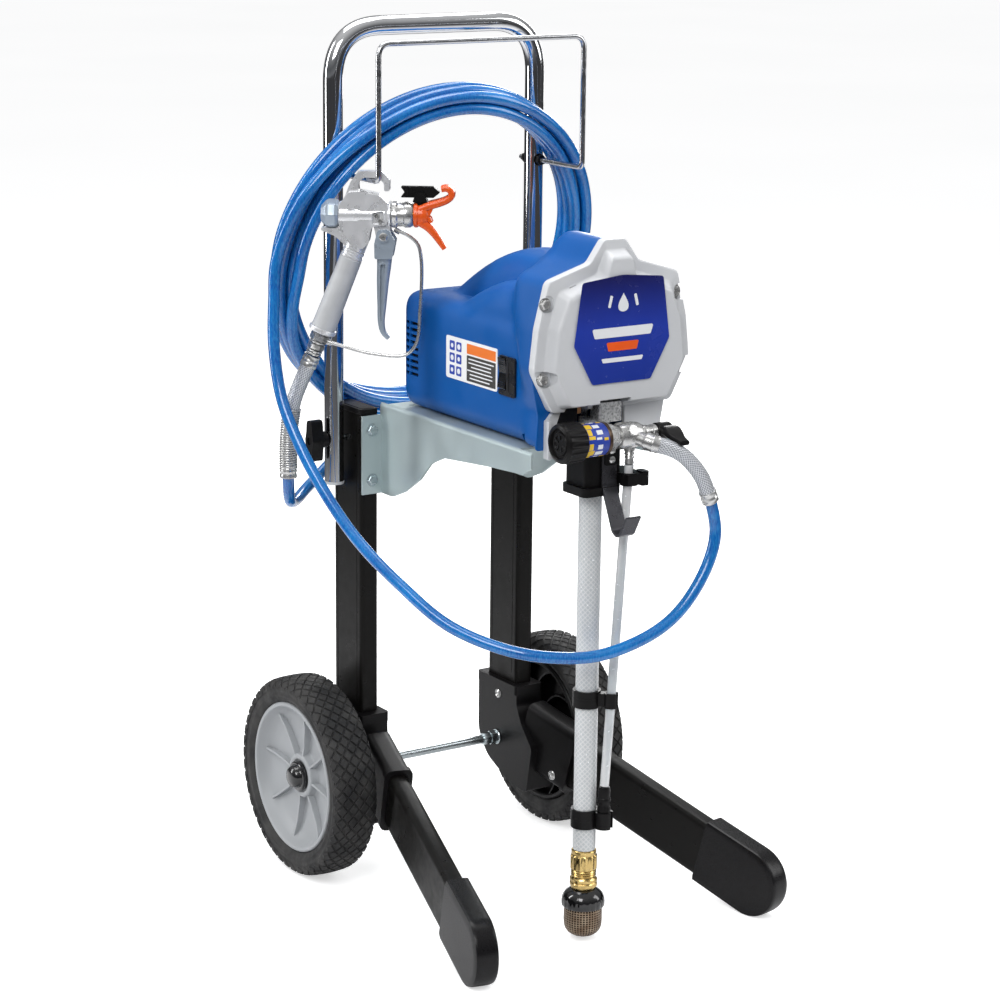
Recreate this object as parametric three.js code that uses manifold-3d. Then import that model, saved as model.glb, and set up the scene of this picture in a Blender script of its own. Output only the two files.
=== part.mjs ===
// Airless paint sprayer on a two-wheeled upright cart.
// Units are millimetres, +Z is up, -Y is the front and the origin is on the floor under the middle.
// "far" pieces stand on the +X side and "near" pieces on the -X side.
import * as THREE from 'three';
import { mergeVertices } from 'three/addons/utils/BufferGeometryUtils.js';
import Module from 'manifold-3d';

const wasm = await Module();
wasm.setup();

// ---- driving dimensions ----
const CART_HEIGHT = 953;
const AXLE_Y = 147.7;
const GAP = 0.3;

const WHEEL = { radius: 113.5, rim: 85.4, halfWidth: 26.5, x: 166.5, bore: 5.6, axle: 5, segments: 32 };
const UPRIGHT = { x: 104, width: 22, depth: 60, wall: 1.8, bottom: 126, top: 525 };
const LEG = { splay: 13, slope: 15.6, height: 66, width: 22, wall: 1.8, start: 25, end: 330, rise: 132 };
const FOOT = { start: 283, centre: 352, radius: 38.5, halfWidth: 13.5 };
const HANDLE = { x: 130, y: AXLE_Y + 3, radius: 10.6, bottom: 446, bend: 58, knobZ: 495 };
const RACK = { radius: 3, z: 788, top: 931, front: AXLE_Y - 92, back: AXLE_Y + 28, bends: [7, 14, 14, 7] };
const DECK = { halfWidth: 91, rear: AXLE_Y - 44, front: AXLE_Y - 326, bottom: 535, sheet: 2.5 };
const HOUSING = { halfWidth: 80, rear: AXLE_Y - 75, front: AXLE_Y - 327, bottom: 537.9, top: 665, wall: 3 };
const MOTOR = { z: 605.4, bore: 24.5, radius: 46, rear: AXLE_Y - 140, front: AXLE_Y - 277.5 };
const GEAR = { x: -14, z: 645, teeth: 36, pinionTeeth: 12, module: 1.75, rear: AXLE_Y - 290, front: AXLE_Y - 299 };
const PUMP = { x: -14, y: AXLE_Y - 326, radius: 16, bottom: 498.6 };
const VALVE = { y: AXLE_Y - 357, z: 551 };
const SUCTION = { x: -18, y: AXLE_Y - 328, radius: 12, top: 498, bottom: 101 };
const PRIME = { top: [9, VALVE.y, 520], bottom: [-6, AXLE_Y - 346, 174], radius: 4.8 };
const GUN = { x: -126, y: AXLE_Y - 82, z: 752.5, yaw: 36 };
const HOSE = { radius: 6.3, guard: 8.5, sides: 8 };
const COIL = { y: AXLE_Y + 6, z: 689, tilt: 17, radius: 185, half: 15 };

const COLOURS = {
  black: [0x141414, 0.55, 0.0],
  charcoal: [0x23221f, 0.45, 0.4],
  rubber: [0x1c1c1c, 0.9, 0.0],
  grey: [0xaaacaf, 0.5, 0.0],
  cover: [0xc8cacc, 0.4, 0.0],
  blue: [0x0a5aaa, 0.4, 0.0],
  emblem: [0x12308a, 0.3, 0.1],
  zinc: [0xa9b6ba, 0.4, 0.8],
  chrome: [0xd8dadd, 0.12, 1.0],
  aluminium: [0xbfc1c4, 0.3, 0.9],
  brass: [0xc7a04a, 0.3, 0.9],
  hose: [0x1560c0, 0.25, 0.0],
  clear: [0xdfe3e4, 0.3, 0.0],
  orange: [0xf0661e, 0.4, 0.0],
  copper: [0x9a5a30, 0.5, 0.6],
};

// ---- shape helpers ----
const radians = THREE.MathUtils.degToRad;
const vector = (point) => new THREE.Vector3(...point);

function signedVolume(geometry) {
  const position = geometry.attributes.position;
  const index = geometry.index;
  const corner = (n) => new THREE.Vector3().fromBufferAttribute(position, index.getX(n));
  let total = 0;
  for (let n = 0; n < index.count; n += 3) {
    total += corner(n).dot(corner(n + 1).cross(corner(n + 2)));
  }
  return total / 6;
}

function flip(geometry) {
  const index = geometry.index;
  for (let n = 0; n < index.count; n += 3) {
    const first = index.getX(n);
    index.setX(n, index.getX(n + 1));
    index.setX(n + 1, first);
  }
  return geometry;
}

// One closed, outward-facing, welded mesh.
function closed(source) {
  const bare = source.clone();
  bare.deleteAttribute('normal');
  bare.deleteAttribute('uv');
  const welded = mergeVertices(bare, 1e-4);
  return signedVolume(welded) < 0 ? flip(welded) : welded;
}

function toSolid(geometry) {
  const mesh = closed(geometry);
  const vertProperties = new Float32Array(mesh.attributes.position.array);
  const triVerts = new Uint32Array(mesh.index.array);
  return new wasm.Manifold(new wasm.Mesh({ numProp: 3, vertProperties, triVerts }));
}

function fromSolid(body) {
  const { vertProperties, triVerts } = body.getMesh();
  const geometry = new THREE.BufferGeometry();
  geometry.setAttribute('position', new THREE.BufferAttribute(new Float32Array(vertProperties), 3));
  geometry.setIndex(new THREE.BufferAttribute(new Uint32Array(triVerts), 1));
  return geometry;
}

const join = (...pieces) => fromSolid(pieces.map(toSolid).reduce((sum, next) => sum.add(next)));
const cut = (body, ...tools) => fromSolid(
  tools.map(toSolid).reduce((rest, tool) => rest.subtract(tool), toSolid(body)));
const keep = (body, tool) => fromSolid(toSolid(body).intersect(toSolid(tool)));
const placed = (geometry, matrix) => geometry.clone().applyMatrix4(matrix);

function mirrored(geometry) {
  const copy = closed(geometry);
  copy.scale(-1, 1, 1);
  return flip(copy);
}

function box(x, y, z) {
  const geometry = new THREE.BoxGeometry(x[1] - x[0], y[1] - y[0], z[1] - z[0]);
  return geometry.translate((x[0] + x[1]) / 2, (y[0] + y[1]) / 2, (z[0] + z[1]) / 2);
}

const outline = (points) => new THREE.Shape(points.map(([a, b]) => new THREE.Vector2(a, b)));

function roundedBox(centre, size, radius) {
  const [cx, cy] = centre;
  const [w, h] = [size[0] / 2 - radius, size[1] / 2 - radius];
  const shape = new THREE.Shape();
  shape.absarc(cx + w, cy + h, radius, 0, Math.PI / 2);
  shape.absarc(cx - w, cy + h, radius, Math.PI / 2, Math.PI);
  shape.absarc(cx - w, cy - h, radius, Math.PI, 1.5 * Math.PI);
  shape.absarc(cx + w, cy - h, radius, 1.5 * Math.PI, 2 * Math.PI);
  return shape;
}

function extruded(shape, depth, curveSegments = 4) {
  return new THREE.ExtrudeGeometry(shape, { depth, bevelEnabled: false, curveSegments });
}

// Outline in (y, z), extruded along X.
function prismX(shape, x0, x1, curve) {
  const basis = new THREE.Matrix4().makeBasis(vector([0, 1, 0]), vector([0, 0, 1]), vector([1, 0, 0]));
  return extruded(shape, x1 - x0, curve).applyMatrix4(basis).translate(x0, 0, 0);
}

// Outline in (x, z), extruded along Y.
function prismY(shape, y0, y1, curve) {
  const basis = new THREE.Matrix4().makeBasis(vector([1, 0, 0]), vector([0, 0, 1]), vector([0, -1, 0]));
  return extruded(shape, y1 - y0, curve).applyMatrix4(basis).translate(0, y1, 0);
}

// Outline in (x, y), extruded along Z.
const prismZ = (shape, z0, z1, curve) => extruded(shape, z1 - z0, curve).translate(0, 0, z0);

function rod(from, to, radius, sides = 16, endRadius = radius) {
  const [a, b] = [vector(from), vector(to)];
  const along = b.clone().sub(a);
  const geometry = new THREE.CylinderGeometry(endRadius, radius, along.length(), sides);
  const turn = new THREE.Quaternion().setFromUnitVectors(vector([0, 1, 0]), along.clone().normalize());
  return geometry.applyQuaternion(turn).translate(...a.add(b).multiplyScalar(0.5).toArray());
}

// Profile points are (radius, distance along the axis).
function turned(profile, axis, origin, segments = 24) {
  const points = profile.map(([r, a]) => new THREE.Vector2(r, a));
  const geometry = new THREE.LatheGeometry(points, segments);
  if (axis === 'x') geometry.rotateZ(-Math.PI / 2);
  if (axis === 'z') geometry.rotateX(Math.PI / 2);
  return closed(geometry).translate(...origin);
}

const ring = (profile) => [...profile, profile[0]];

function polygon(radius, sides) {
  const points = [];
  for (let n = 0; n < sides; n += 1) {
    const angle = (2 * Math.PI * n) / sides;
    points.push([radius * Math.cos(angle), radius * Math.sin(angle)]);
  }
  return outline(points);
}

function swept(path, radius, steps, sides = HOSE.sides) {
  return new THREE.ExtrudeGeometry(polygon(radius, sides), { extrudePath: path, steps, bevelEnabled: false });
}

// Straight runs joined by rounded corners, with one bend for each corner.
function bentPath(points, bends) {
  const corners = points.map(vector);
  const path = new THREE.CurvePath();
  let start = corners[0];
  for (let n = 1; n < corners.length - 1; n += 1) {
    const corner = corners[n];
    const bend = bends[n - 1];
    const back = corners[n - 1].clone().sub(corner).normalize().multiplyScalar(bend).add(corner);
    const on = corners[n + 1].clone().sub(corner).normalize().multiplyScalar(bend).add(corner);
    path.add(new THREE.LineCurve3(start, back));
    path.add(new THREE.QuadraticBezierCurve3(back, corner, on));
    start = on;
  }
  path.add(new THREE.LineCurve3(start, corners.at(-1)));
  return path;
}

const smoothPath = (points) => new THREE.CatmullRomCurve3(points.map(vector), false, 'centripetal');

// ---- assembly helpers ----
const model = new THREE.Group();

function add(name, geometry, colour) {
  const [color, roughness, metalness] = COLOURS[colour];
  const mesh = new THREE.Mesh(closed(geometry), new THREE.MeshStandardMaterial({ color, roughness, metalness }));
  mesh.name = name;
  model.add(mesh);
}

// The same piece on both sides of the cart, drawn for the far side.
function addPair(name, geometry, colour) {
  add(`${name}_far`, geometry, colour);
  add(`${name}_near`, mirrored(geometry), colour);
}

// ---- wheels and axle ----
function tyre() {
  const { radius, rim, halfWidth } = WHEEL;
  const inner = rim + GAP;
  const profile = ring([
    [inner, -halfWidth + 2], [100, -halfWidth], [109, -halfWidth + 4], [radius, -halfWidth + 12],
    [radius, halfWidth - 12], [109, halfWidth - 4], [100, halfWidth], [inner, halfWidth - 2],
  ]);
  return turned(profile, 'x', [WHEEL.x, AXLE_Y, radius], WHEEL.segments);
}

function rim() {
  const { rim: outer, bore } = WHEEL;
  const flange = outer - 6.4;
  const profile = ring([
    [bore, -24], [18, -24], [18, -5], [flange, -5], [flange, -24], [outer, -24],
    [outer, 22], [flange, 22], [flange, 2], [20, 2], [20, 10], [bore, 10],
  ]);
  return turned(profile, 'x', [WHEEL.x, AXLE_Y, WHEEL.radius], WHEEL.segments);
}

function hubcap() {
  const pocket = WHEEL.axle + GAP;
  const profile = [[0, 16], [pocket, 16], [pocket, 10.6], [17, 10.6], [17, 16], [12, 22.5], [0, 25]];
  return turned(profile, 'x', [WHEEL.x, AXLE_Y, WHEEL.radius], 16);
}

const axleEnd = WHEEL.x + 15.5;
add('axle', rod([-axleEnd, AXLE_Y, WHEEL.radius], [axleEnd, AXLE_Y, WHEEL.radius], WHEEL.axle), 'zinc');
addPair('tyre', tyre(), 'rubber');
addPair('rim', rim(), 'grey');
addPair('hubcap', hubcap(), 'black');

// ---- uprights, knuckles, legs and feet ----
const halfDepth = UPRIGHT.depth / 2;
const halfUpright = UPRIGHT.width / 2;

// Local x runs along the leg, y across it outwards and z up, for the far side.
function legMatrix() {
  const [s, c] = [Math.sin(radians(LEG.splay)), Math.cos(radians(LEG.splay))];
  const splayed = new THREE.Matrix4().makeBasis(vector([s, -c, 0]), vector([c, s, 0]), vector([0, 0, 1]));
  splayed.setPosition(UPRIGHT.x, AXLE_Y - 38, LEG.rise);
  return splayed.multiply(new THREE.Matrix4().makeRotationY(radians(LEG.slope)));
}

function hollowSection(centre, size, wall, radius) {
  const shape = roundedBox(centre, size, radius);
  shape.holes.push(roundedBox(centre, size.map((side) => side - 2 * wall), radius - wall));
  return shape;
}

function screwHole(radius = 3.4) {
  return rod([HANDLE.x - 30, HANDLE.y, HANDLE.knobZ], [HANDLE.x + 30, HANDLE.y, HANDLE.knobZ], radius, 12);
}

function upright() {
  const section = hollowSection([UPRIGHT.x, AXLE_Y], [UPRIGHT.width, UPRIGHT.depth], UPRIGHT.wall, 5);
  const tube = prismZ(section, UPRIGHT.bottom, UPRIGHT.top, 3);
  const outerWall = keep(screwHole(), box([UPRIGHT.x + 4, 140], [0, 400], [400, 600]));
  return cut(tube, outerWall);
}

function uprightCap() {
  const inset = UPRIGHT.wall + GAP + 0.2;
  const lid = prismZ(roundedBox([UPRIGHT.x, AXLE_Y], [22, 60], 5), UPRIGHT.top + GAP, UPRIGHT.top + 6, 3);
  const plugSize = [UPRIGHT.width - 2 * inset, UPRIGHT.depth - 2 * inset];
  const plug = prismZ(roundedBox([UPRIGHT.x, AXLE_Y], plugSize, 2), UPRIGHT.top - 14, UPRIGHT.top + 2, 2);
  return join(lid, plug);
}

function knuckle() {
  const y = (offset) => AXLE_Y + offset;
  const side = outline([
    [y(40), 184], [y(40), 118], [y(30), 97], [y(2), 79], [y(-60), 66], [y(-70), 120], [y(-48), 146], [y(-40), 160],
    [y(-40), 184],
  ]);
  const tower = prismX(side, UPRIGHT.x - 17, UPRIGHT.x + 17);
  const socket = prismX(roundedBox([0, 0], [30, LEG.height + 10], 8), 6, 84, 3);
  const uprightPocket = box(
    [UPRIGHT.x - halfUpright - GAP, UPRIGHT.x + halfUpright + GAP],
    [AXLE_Y - halfDepth - GAP, AXLE_Y + halfDepth + GAP],
    [UPRIGHT.bottom - GAP, 200]);
  const legPocket = prismX(
    roundedBox([0, 0], [LEG.width + 2 * GAP, LEG.height + 2 * GAP], 5), LEG.start - GAP, 120, 3);
  const axleHole = rod([80, AXLE_Y, WHEEL.radius], [130, AXLE_Y, WHEEL.radius], WHEEL.axle + GAP, 16);
  const body = join(tower, placed(socket, legMatrix()));
  return cut(body, uprightPocket, placed(legPocket, legMatrix()), axleHole);
}

function leg() {
  const section = hollowSection([0, 0], [LEG.width, LEG.height], LEG.wall, 5);
  return placed(prismX(section, LEG.start, LEG.end, 3), legMatrix());
}

function foot() {
  const { start, centre, radius, halfWidth } = FOOT;
  const shape = new THREE.Shape();
  shape.moveTo(start, radius);
  shape.lineTo(start, -radius);
  shape.absarc(centre, 0, radius, -Math.PI / 2, Math.PI / 2);
  const pocket = prismX(
    roundedBox([0, 0], [LEG.width + 2 * GAP, LEG.height + 2 * GAP], 5), start - 10, LEG.end + GAP, 3);
  const toe = cut(prismY(shape, -halfWidth, halfWidth, 14), pocket);
  return cut(placed(toe, legMatrix()), box([0, 400], [-500, 400], [-20, 0]));
}

addPair('upright', upright(), 'charcoal');
addPair('upright_cap', uprightCap(), 'black');
addPair('knuckle', knuckle(), 'black');
addPair('leg', leg(), 'charcoal');
addPair('foot', foot(), 'black');

// ---- handle, its knobs and the hose rack ----
function handle() {
  const top = CART_HEIGHT - HANDLE.radius;
  const { x, y, bottom, bend } = HANDLE;
  const path = bentPath([[-x, y, bottom], [-x, y, top], [x, y, top], [x, y, bottom]], [bend, bend]);
  const rackHole = (side) => rod([side, y - 30, RACK.z], [side, y + 30, RACK.z], RACK.radius + 0.4, 12);
  const farScrew = screwHole();
  return cut(swept(path, HANDLE.radius, 48, 12), farScrew, mirrored(farScrew), rackHole(x), rackHole(-x));
}

function handleKnob() {
  const { x, y, radius, knobZ } = HANDLE;
  const face = x + radius + GAP;
  const screw = rod([UPRIGHT.x + 1, y, knobZ], [face + 2, y, knobZ], 3, 12);
  const collar = rod([face, y, knobZ], [face + 7, y, knobZ], 8.5, 16);
  const bar = prismX(roundedBox([y, knobZ], [13, 46], 6), face + 6, face + 21, 4);
  return join(screw, collar, bar);
}

function hoseRack() {
  const { x } = HANDLE;
  const { back, front, z, top, bends, radius } = RACK;
  const corners = [
    [-x, back, z], [-x, front, z], [-x, front, top], [x, front, top], [x, front, z], [x, back, z],
  ];
  return swept(bentPath(corners, bends), radius, 72, 6);
}

add('handle', handle(), 'chrome');
addPair('handle_knob', handleKnob(), 'black');
add('hose_rack', hoseRack(), 'zinc');

// ---- mounting bracket: a folded sheet with a deck, two flanges and two tabs ----
function mountingBracket() {
  const { halfWidth, rear, front, bottom, sheet } = DECK;
  const top = bottom + sheet;
  const y = (offset) => AXLE_Y + offset;
  const deck = box([-halfWidth, halfWidth], [front + 24, rear], [bottom, top]);
  const flangeShape = outline([
    [y(-30.3), top], [y(-30.3), 436], [y(-56), 436], [y(-83), 448], [y(-118), 470], [y(-138), 491],
    [y(-160), 500], [y(-250), 508], [y(-318), 513], [y(-326), 520], [y(-326), top],
  ]);
  const flange = prismX(flangeShape, halfWidth - sheet, halfWidth);
  const tab = box([halfWidth - sheet, UPRIGHT.x + halfUpright], [y(-33), y(-30.3)], [436, 524]);
  return join(deck, flange, mirrored(flange), tab, mirrored(tab));
}

add('mounting_bracket', mountingBracket(), 'zinc');

// ---- motor, gears and the casting that holds them ----
function toothedWheel(teeth, centre, phase) {
  const pitch = (GEAR.module * teeth) / 2;
  const [tip, root] = [pitch + 1.3, pitch - 2.1];
  const step = (2 * Math.PI) / teeth;
  const points = [];
  for (let n = 0; n < teeth; n += 1) {
    const middle = n * step + phase;
    const corners = [[root, -0.29], [tip, -0.13], [tip, 0.13], [root, 0.29]];
    for (const [r, share] of corners) {
      const angle = middle + share * step;
      points.push([centre[0] + r * Math.cos(angle), centre[1] + r * Math.sin(angle)]);
    }
  }
  return outline(points);
}

const meshAngle = Math.atan2(GEAR.z - MOTOR.z, GEAR.x);

function driveGear() {
  const wheel = prismY(
    toothedWheel(GEAR.teeth, [GEAR.x, GEAR.z], meshAngle + Math.PI), GEAR.front, GEAR.rear);
  const stub = rod([GEAR.x, GEAR.rear - 2, GEAR.z], [GEAR.x, AXLE_Y - 279, GEAR.z], 6, 16);
  const crankPin = rod([GEAR.x, GEAR.front + 2, GEAR.z + 11], [GEAR.x, AXLE_Y - 314, GEAR.z + 11], 5, 16);
  return join(wheel, stub, crankPin);
}

function motorRotor() {
  const end = AXLE_Y - 288;
  const profile = [
    [0, end], [5, end], [5, AXLE_Y - 268], [23.5, AXLE_Y - 268], [23.5, AXLE_Y - 150], [5, AXLE_Y - 150],
    [5, AXLE_Y - 108], [40, AXLE_Y - 108], [40, AXLE_Y - 100], [5, AXLE_Y - 100], [5, AXLE_Y - 94], [0, AXLE_Y - 94],
  ];
  const shaft = turned(profile, 'y', [0, 0, MOTOR.z], 16);
  const halfTooth = Math.PI / GEAR.pinionTeeth;
  const pinion = prismY(
    toothedWheel(GEAR.pinionTeeth, [0, MOTOR.z], meshAngle + halfTooth), GEAR.front, AXLE_Y - 286);
  return join(shaft, pinion);
}

function motorStator() {
  const { bore, radius, front, rear, z } = MOTOR;
  const profile = ring([[bore, front], [radius, front], [radius, rear], [bore, rear]]);
  return turned(profile, 'y', [0, 0, z], 24);
}

function driveCasting() {
  const shell = box([-62, 62], [AXLE_Y - 340.5, AXLE_Y - 278], [585, 708]);
  const cavity = box([-57, 57], [AXLE_Y - 350, AXLE_Y - 284], [591, 703]);
  const rotorHole = rod([0, AXLE_Y - 290, MOTOR.z], [0, AXLE_Y - 270, MOTOR.z], 14, 16);
  const gearHole = rod([GEAR.x, AXLE_Y - 290, GEAR.z], [GEAR.x, AXLE_Y - 270, GEAR.z], 6.4, 16);
  const rodHole = rod([PUMP.x, PUMP.y, 575], [PUMP.x, PUMP.y, 605], 8.4, 16);
  return cut(shell, cavity, rotorHole, gearHole, rodHole);
}

add('motor_stator', motorStator(), 'copper');
add('motor_rotor', motorRotor(), 'aluminium');
add('drive_gear', driveGear(), 'aluminium');
add('drive_casting', driveCasting(), 'aluminium');

// ---- blue motor housing, its switch and cord gland ----
const humpOutline = (grow) => outline([
  [-90 - grow, 570], [-92 - grow, 640], [-84 - grow, 703], [-46, 728 + grow], [-24, 746 + grow], [-12, 750 + grow],
  [12, 750 + grow], [24, 746 + grow], [46, 728 + grow], [84 + grow, 703], [92 + grow, 640], [90 + grow, 570],
  [HOUSING.halfWidth + grow, HOUSING.bottom], [-HOUSING.halfWidth - grow, HOUSING.bottom],
]);

const shoulderOutline = (grow) => outline([
  [-80 - grow, 600], [-80 - grow, 668], [-60, 690 + grow], [-30, 702 + grow], [30, 702 + grow], [60, 690 + grow],
  [80 + grow, 668], [80 + grow, 600],
]);

const SWITCH = { y: AXLE_Y - 257, z: 607, halfY: 8, halfZ: 17 };

function motorHousing() {
  const { halfWidth, rear, front, bottom, top, wall } = HOUSING;
  const middle = (bottom + top) / 2;
  const body = prismY(roundedBox([0, middle], [2 * halfWidth, top - bottom], 18), front, rear, 4);
  const hump = prismY(humpOutline(0), front, AXLE_Y - 256);
  const shoulder = prismY(shoulderOutline(0), front, AXLE_Y - 200);
  const inside = prismY(
    roundedBox([0, middle], [2 * (halfWidth - wall), top - bottom - 2 * wall], 15), front - 5, rear - wall, 4);
  const insideHump = prismY(humpOutline(-wall), front - 5, AXLE_Y - 256 - wall);
  const insideShoulder = prismY(shoulderOutline(-wall), front - 5, AXLE_Y - 200 - wall);
  const openBottom = box([-66, 66], [front - 5, rear - 12], [bottom - 5, bottom + 20]);
  const { y, z, halfY, halfZ } = SWITCH;
  const windowHole = box([-100, -70], [y - halfY, y + halfY], [z - halfZ, z + halfZ]);
  return cut(join(body, hump, shoulder), inside, insideHump, insideShoulder, openBottom, windowHole);
}

function powerSwitch() {
  const { y, z, halfY, halfZ } = SWITCH;
  const face = HOUSING.halfWidth + 1.5;
  const shape = outline([
    [-face, z + halfZ - 1.5], [-face + 1.5, z], [-face, z - halfZ + 1.5], [-face + 6, z - halfZ + 2.5],
    [-face + 6, z + halfZ - 2.5],
  ]);
  return prismY(shape, y - halfY + 1, y + halfY - 1);
}

function cordGland() {
  const profile = [[0, HOUSING.rear + GAP], [11, HOUSING.rear + GAP], [11, HOUSING.rear + 5],
    [8, HOUSING.rear + 6], [6, HOUSING.rear + 20], [0, HOUSING.rear + 20]];
  return turned(profile, 'y', [45, 0, 575], 20);
}

add('motor_housing', motorHousing(), 'blue');
add('power_switch', powerSwitch(), 'black');
add('cord_gland', cordGland(), 'black');

// ---- grey front cover and emblem plate ----
const coverOutline = (inset) => outline([
  [-13, 750 - inset], [13, 750 - inset], [30 - inset, 727 - inset], [80 - inset, 712 - inset], [92 - inset, 665],
  [97 - inset, 622], [74 - inset, 578 + inset], [-74 + inset, 578 + inset], [-97 + inset, 622],
  [-92 + inset, 665], [-80 + inset, 712 - inset], [-30 + inset, 727 - inset],
]);

function frontCover() {
  const rear = HOUSING.front - 0.6;
  const face = AXLE_Y - 352;
  const shell = join(
    prismY(coverOutline(0), face + 8, rear),
    prismY(coverOutline(7), face, face + 9));
  const cavity = prismY(coverOutline(4), face + 11, rear + 5);
  const frontCavity = prismY(coverOutline(11), face + 3, face + 12);
  const skirt = prismY(outline([[-73, 581.5], [-86, 568], [-86, 530], [-40, 530], [-40, 577], [20, 577], [20, 545],
    [64, 545], [73, 581.5]]), rear - 3, rear);
  const pumpNotch = box([-34, 6], [face - 5, rear + 5], [560, 589]);
  const rodNotch = box([-34, 6], [rear - 4, rear + 1], [560, 604]);
  const body = cut(shell, cavity, frontCavity);
  return cut(join(body, skirt), pumpNotch, rodNotch);
}

function emblemPlate() {
  const face = AXLE_Y - 352 - GAP;
  return prismY(outline([[-50, 711], [0, 716], [50, 711], [59, 647], [36, 606], [-36, 606], [-59, 647]]),
    face - 1.4, face);
}

add('front_cover', frontCover(), 'cover');
add('emblem_plate', emblemPlate(), 'emblem');

// ---- pump, piston rod, manifold, pressure knob and prime valve ----
function pumpBody() {
  const { x, y, radius, bottom } = PUMP;
  const barrel = rod([x, y, bottom], [x, y, 580], radius, 24);
  const block = box([x - 15, x + 15], [y - 19, y + 15], [564, 584.6]);
  const bore = rod([x, y, 530], [x, y, 600], 7.6, 16);
  return cut(join(barrel, block), bore);
}

function pistonRod() {
  const { x, y } = PUMP;
  const shaft = rod([x, y, 542], [x, y, 640], 7, 16);
  const yoke = box([x - 17, x + 17], [y - 6, y + 9], [634, 652]);
  return join(shaft, yoke);
}

function manifold() {
  const profile = [[0, -22], [12.5, -22], [12.5, -11], [10, -10], [10, -8], [13.5, -7], [13.5, 20], [9, 21],
    [9, 25], [0, 25]];
  const body = turned(profile, 'x', [0, VALVE.y, VALVE.z], 20);
  const outlet = rod([8, VALVE.y, VALVE.z], [17, VALVE.y - 17, VALVE.z - 4], 7.5, 12);
  const barb = rod([9, VALVE.y, VALVE.z - 10], [9, VALVE.y, 521], 4.5, 12);
  return join(body, outlet, barb);
}

function pressureKnob() {
  const profile = [[0, -80], [15, -80], [16, -77.5], [18.5, -77.5], [21, -75], [21, -46], [17, -44], [17, -24],
    [14, -22.4], [0, -22.4]];
  return turned(profile, 'x', [0, VALVE.y, VALVE.z], 24);
}

function primeHandle() {
  const hub = rod([40.6, VALVE.y, VALVE.z], [60, VALVE.y, VALVE.z], 9, 16);
  const paddle = prismX(roundedBox([VALVE.y - 18, VALVE.z], [38, 8], 3.5), 44, 60, 3);
  return join(hub, paddle);
}

add('pump_body', pumpBody(), 'aluminium');
add('piston_rod', pistonRod(), 'chrome');
add('manifold', manifold(), 'chrome');
add('pressure_knob', pressureKnob(), 'black');
add('prime_valve', rod([25.4, VALVE.y, VALVE.z], [40.2, VALVE.y, VALVE.z], 8, 16), 'aluminium');
add('prime_handle', primeHandle(), 'black');

// ---- tube bracket, pail hook, suction and prime tubes ----
function tubeBracket() {
  const { x, y, radius } = PUMP;
  const block = prismZ(roundedBox([x, y], [44, 42], 8), 489, 536, 3);
  const arm = box([x + 15, 24], [VALVE.y - 9, y + 2], [500, 511]);
  const pumpHole = rod([x, y, 494], [x, y, 560], radius + GAP, 24);
  const tubeHole = rod([SUCTION.x, SUCTION.y, 470], [SUCTION.x, SUCTION.y, 510], SUCTION.radius + GAP, 20);
  const primeHole = rod(PRIME.top.with(2, 480), PRIME.top, PRIME.radius + 1.4, 12);
  return cut(join(block, arm), pumpHole, tubeHole, primeHole);
}

function pailHook() {
  const face = PUMP.y - 21 - GAP;
  const strap = outline([
    [face, 532], [face - 2.5, 532], [face - 2.5, 500], [face - 22, 457], [face - 28, 453], [face - 33, 456],
    [face - 44, 475], [face - 46.5, 474], [face - 35.5, 454], [face - 28.5, 450], [face - 20, 454.5], [face, 499],
  ]);
  return prismX(strap, PUMP.x - 5, PUMP.x + 13);
}

function suctionFitting() {
  const profile = [[0, 57], [13, 57], [14.5, 60], [14.5, 68], [12.5, 70], [14, 73], [14, 98], [12, 100.6],
    [0, 100.6]];
  return turned(profile, 'z', [SUCTION.x, SUCTION.y, 0], 20);
}

function strainerCap() {
  const profile = [[0, 56.6], [12, 56.6], [20, 51], [23, 45], [23, 37], [0, 37]];
  return turned(profile, 'z', [SUCTION.x, SUCTION.y, 0], 24);
}

function strainerMesh() {
  const profile = [[0, 36.6], [20.5, 36.6], [20.5, 14], [15, 6], [7, 3], [0, 3]];
  return turned(profile, 'z', [SUCTION.x, SUCTION.y, 0], 24);
}

// A point on the prime tube's line at a height.
function primeAt(z) {
  const [top, bottom] = [vector(PRIME.top), vector(PRIME.bottom)];
  return top.lerp(bottom, (top.z - z) / (top.z - bottom.z)).toArray();
}

function tubeClip(z0, z1, hold, holdRadius) {
  const { x, y, radius } = SUCTION;
  const around = (centre, r) => rod([centre[0], centre[1], z0], [centre[0], centre[1], z1], r, 20);
  const middle = (z0 + z1) / 2;
  const bridge = rod([x, y, middle], hold.with(2, middle), (z1 - z0) / 2, 4);
  const body = keep(join(around([x, y], radius + 3), around(hold, holdRadius + 2.6), bridge),
    box([-100, 100], [-400, 100], [z0, z1]));
  return cut(body, rod([x, y, z0 - 5], [x, y, z1 + 5], radius + GAP, 20),
    rod([hold[0], hold[1], z0 - 5], [hold[0], hold[1], z1 + 5], holdRadius, 16));
}

const deflectorTop = primeAt(174);

add('tube_bracket', tubeBracket(), 'black');
add('pail_hook', pailHook(), 'charcoal');
add('suction_tube', rod([SUCTION.x, SUCTION.y, SUCTION.bottom], [SUCTION.x, SUCTION.y, SUCTION.top],
  SUCTION.radius, 20), 'clear');
add('suction_fitting', suctionFitting(), 'brass');
add('strainer_cap', strainerCap(), 'black');
add('strainer_mesh', strainerMesh(), 'chrome');
add('prime_tube', rod(PRIME.bottom, PRIME.top, PRIME.radius, 12), 'clear');
add('prime_deflector', rod([deflectorTop[0], deflectorTop[1], 126], [deflectorTop[0], deflectorTop[1], 173],
  7, 12), 'black');
add('tube_clip_upper', tubeClip(259, 277, primeAt(268), PRIME.radius + 1), 'black');
add('tube_clip_lower', tubeClip(126, 146, deflectorTop, 7.4), 'black');

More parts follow.
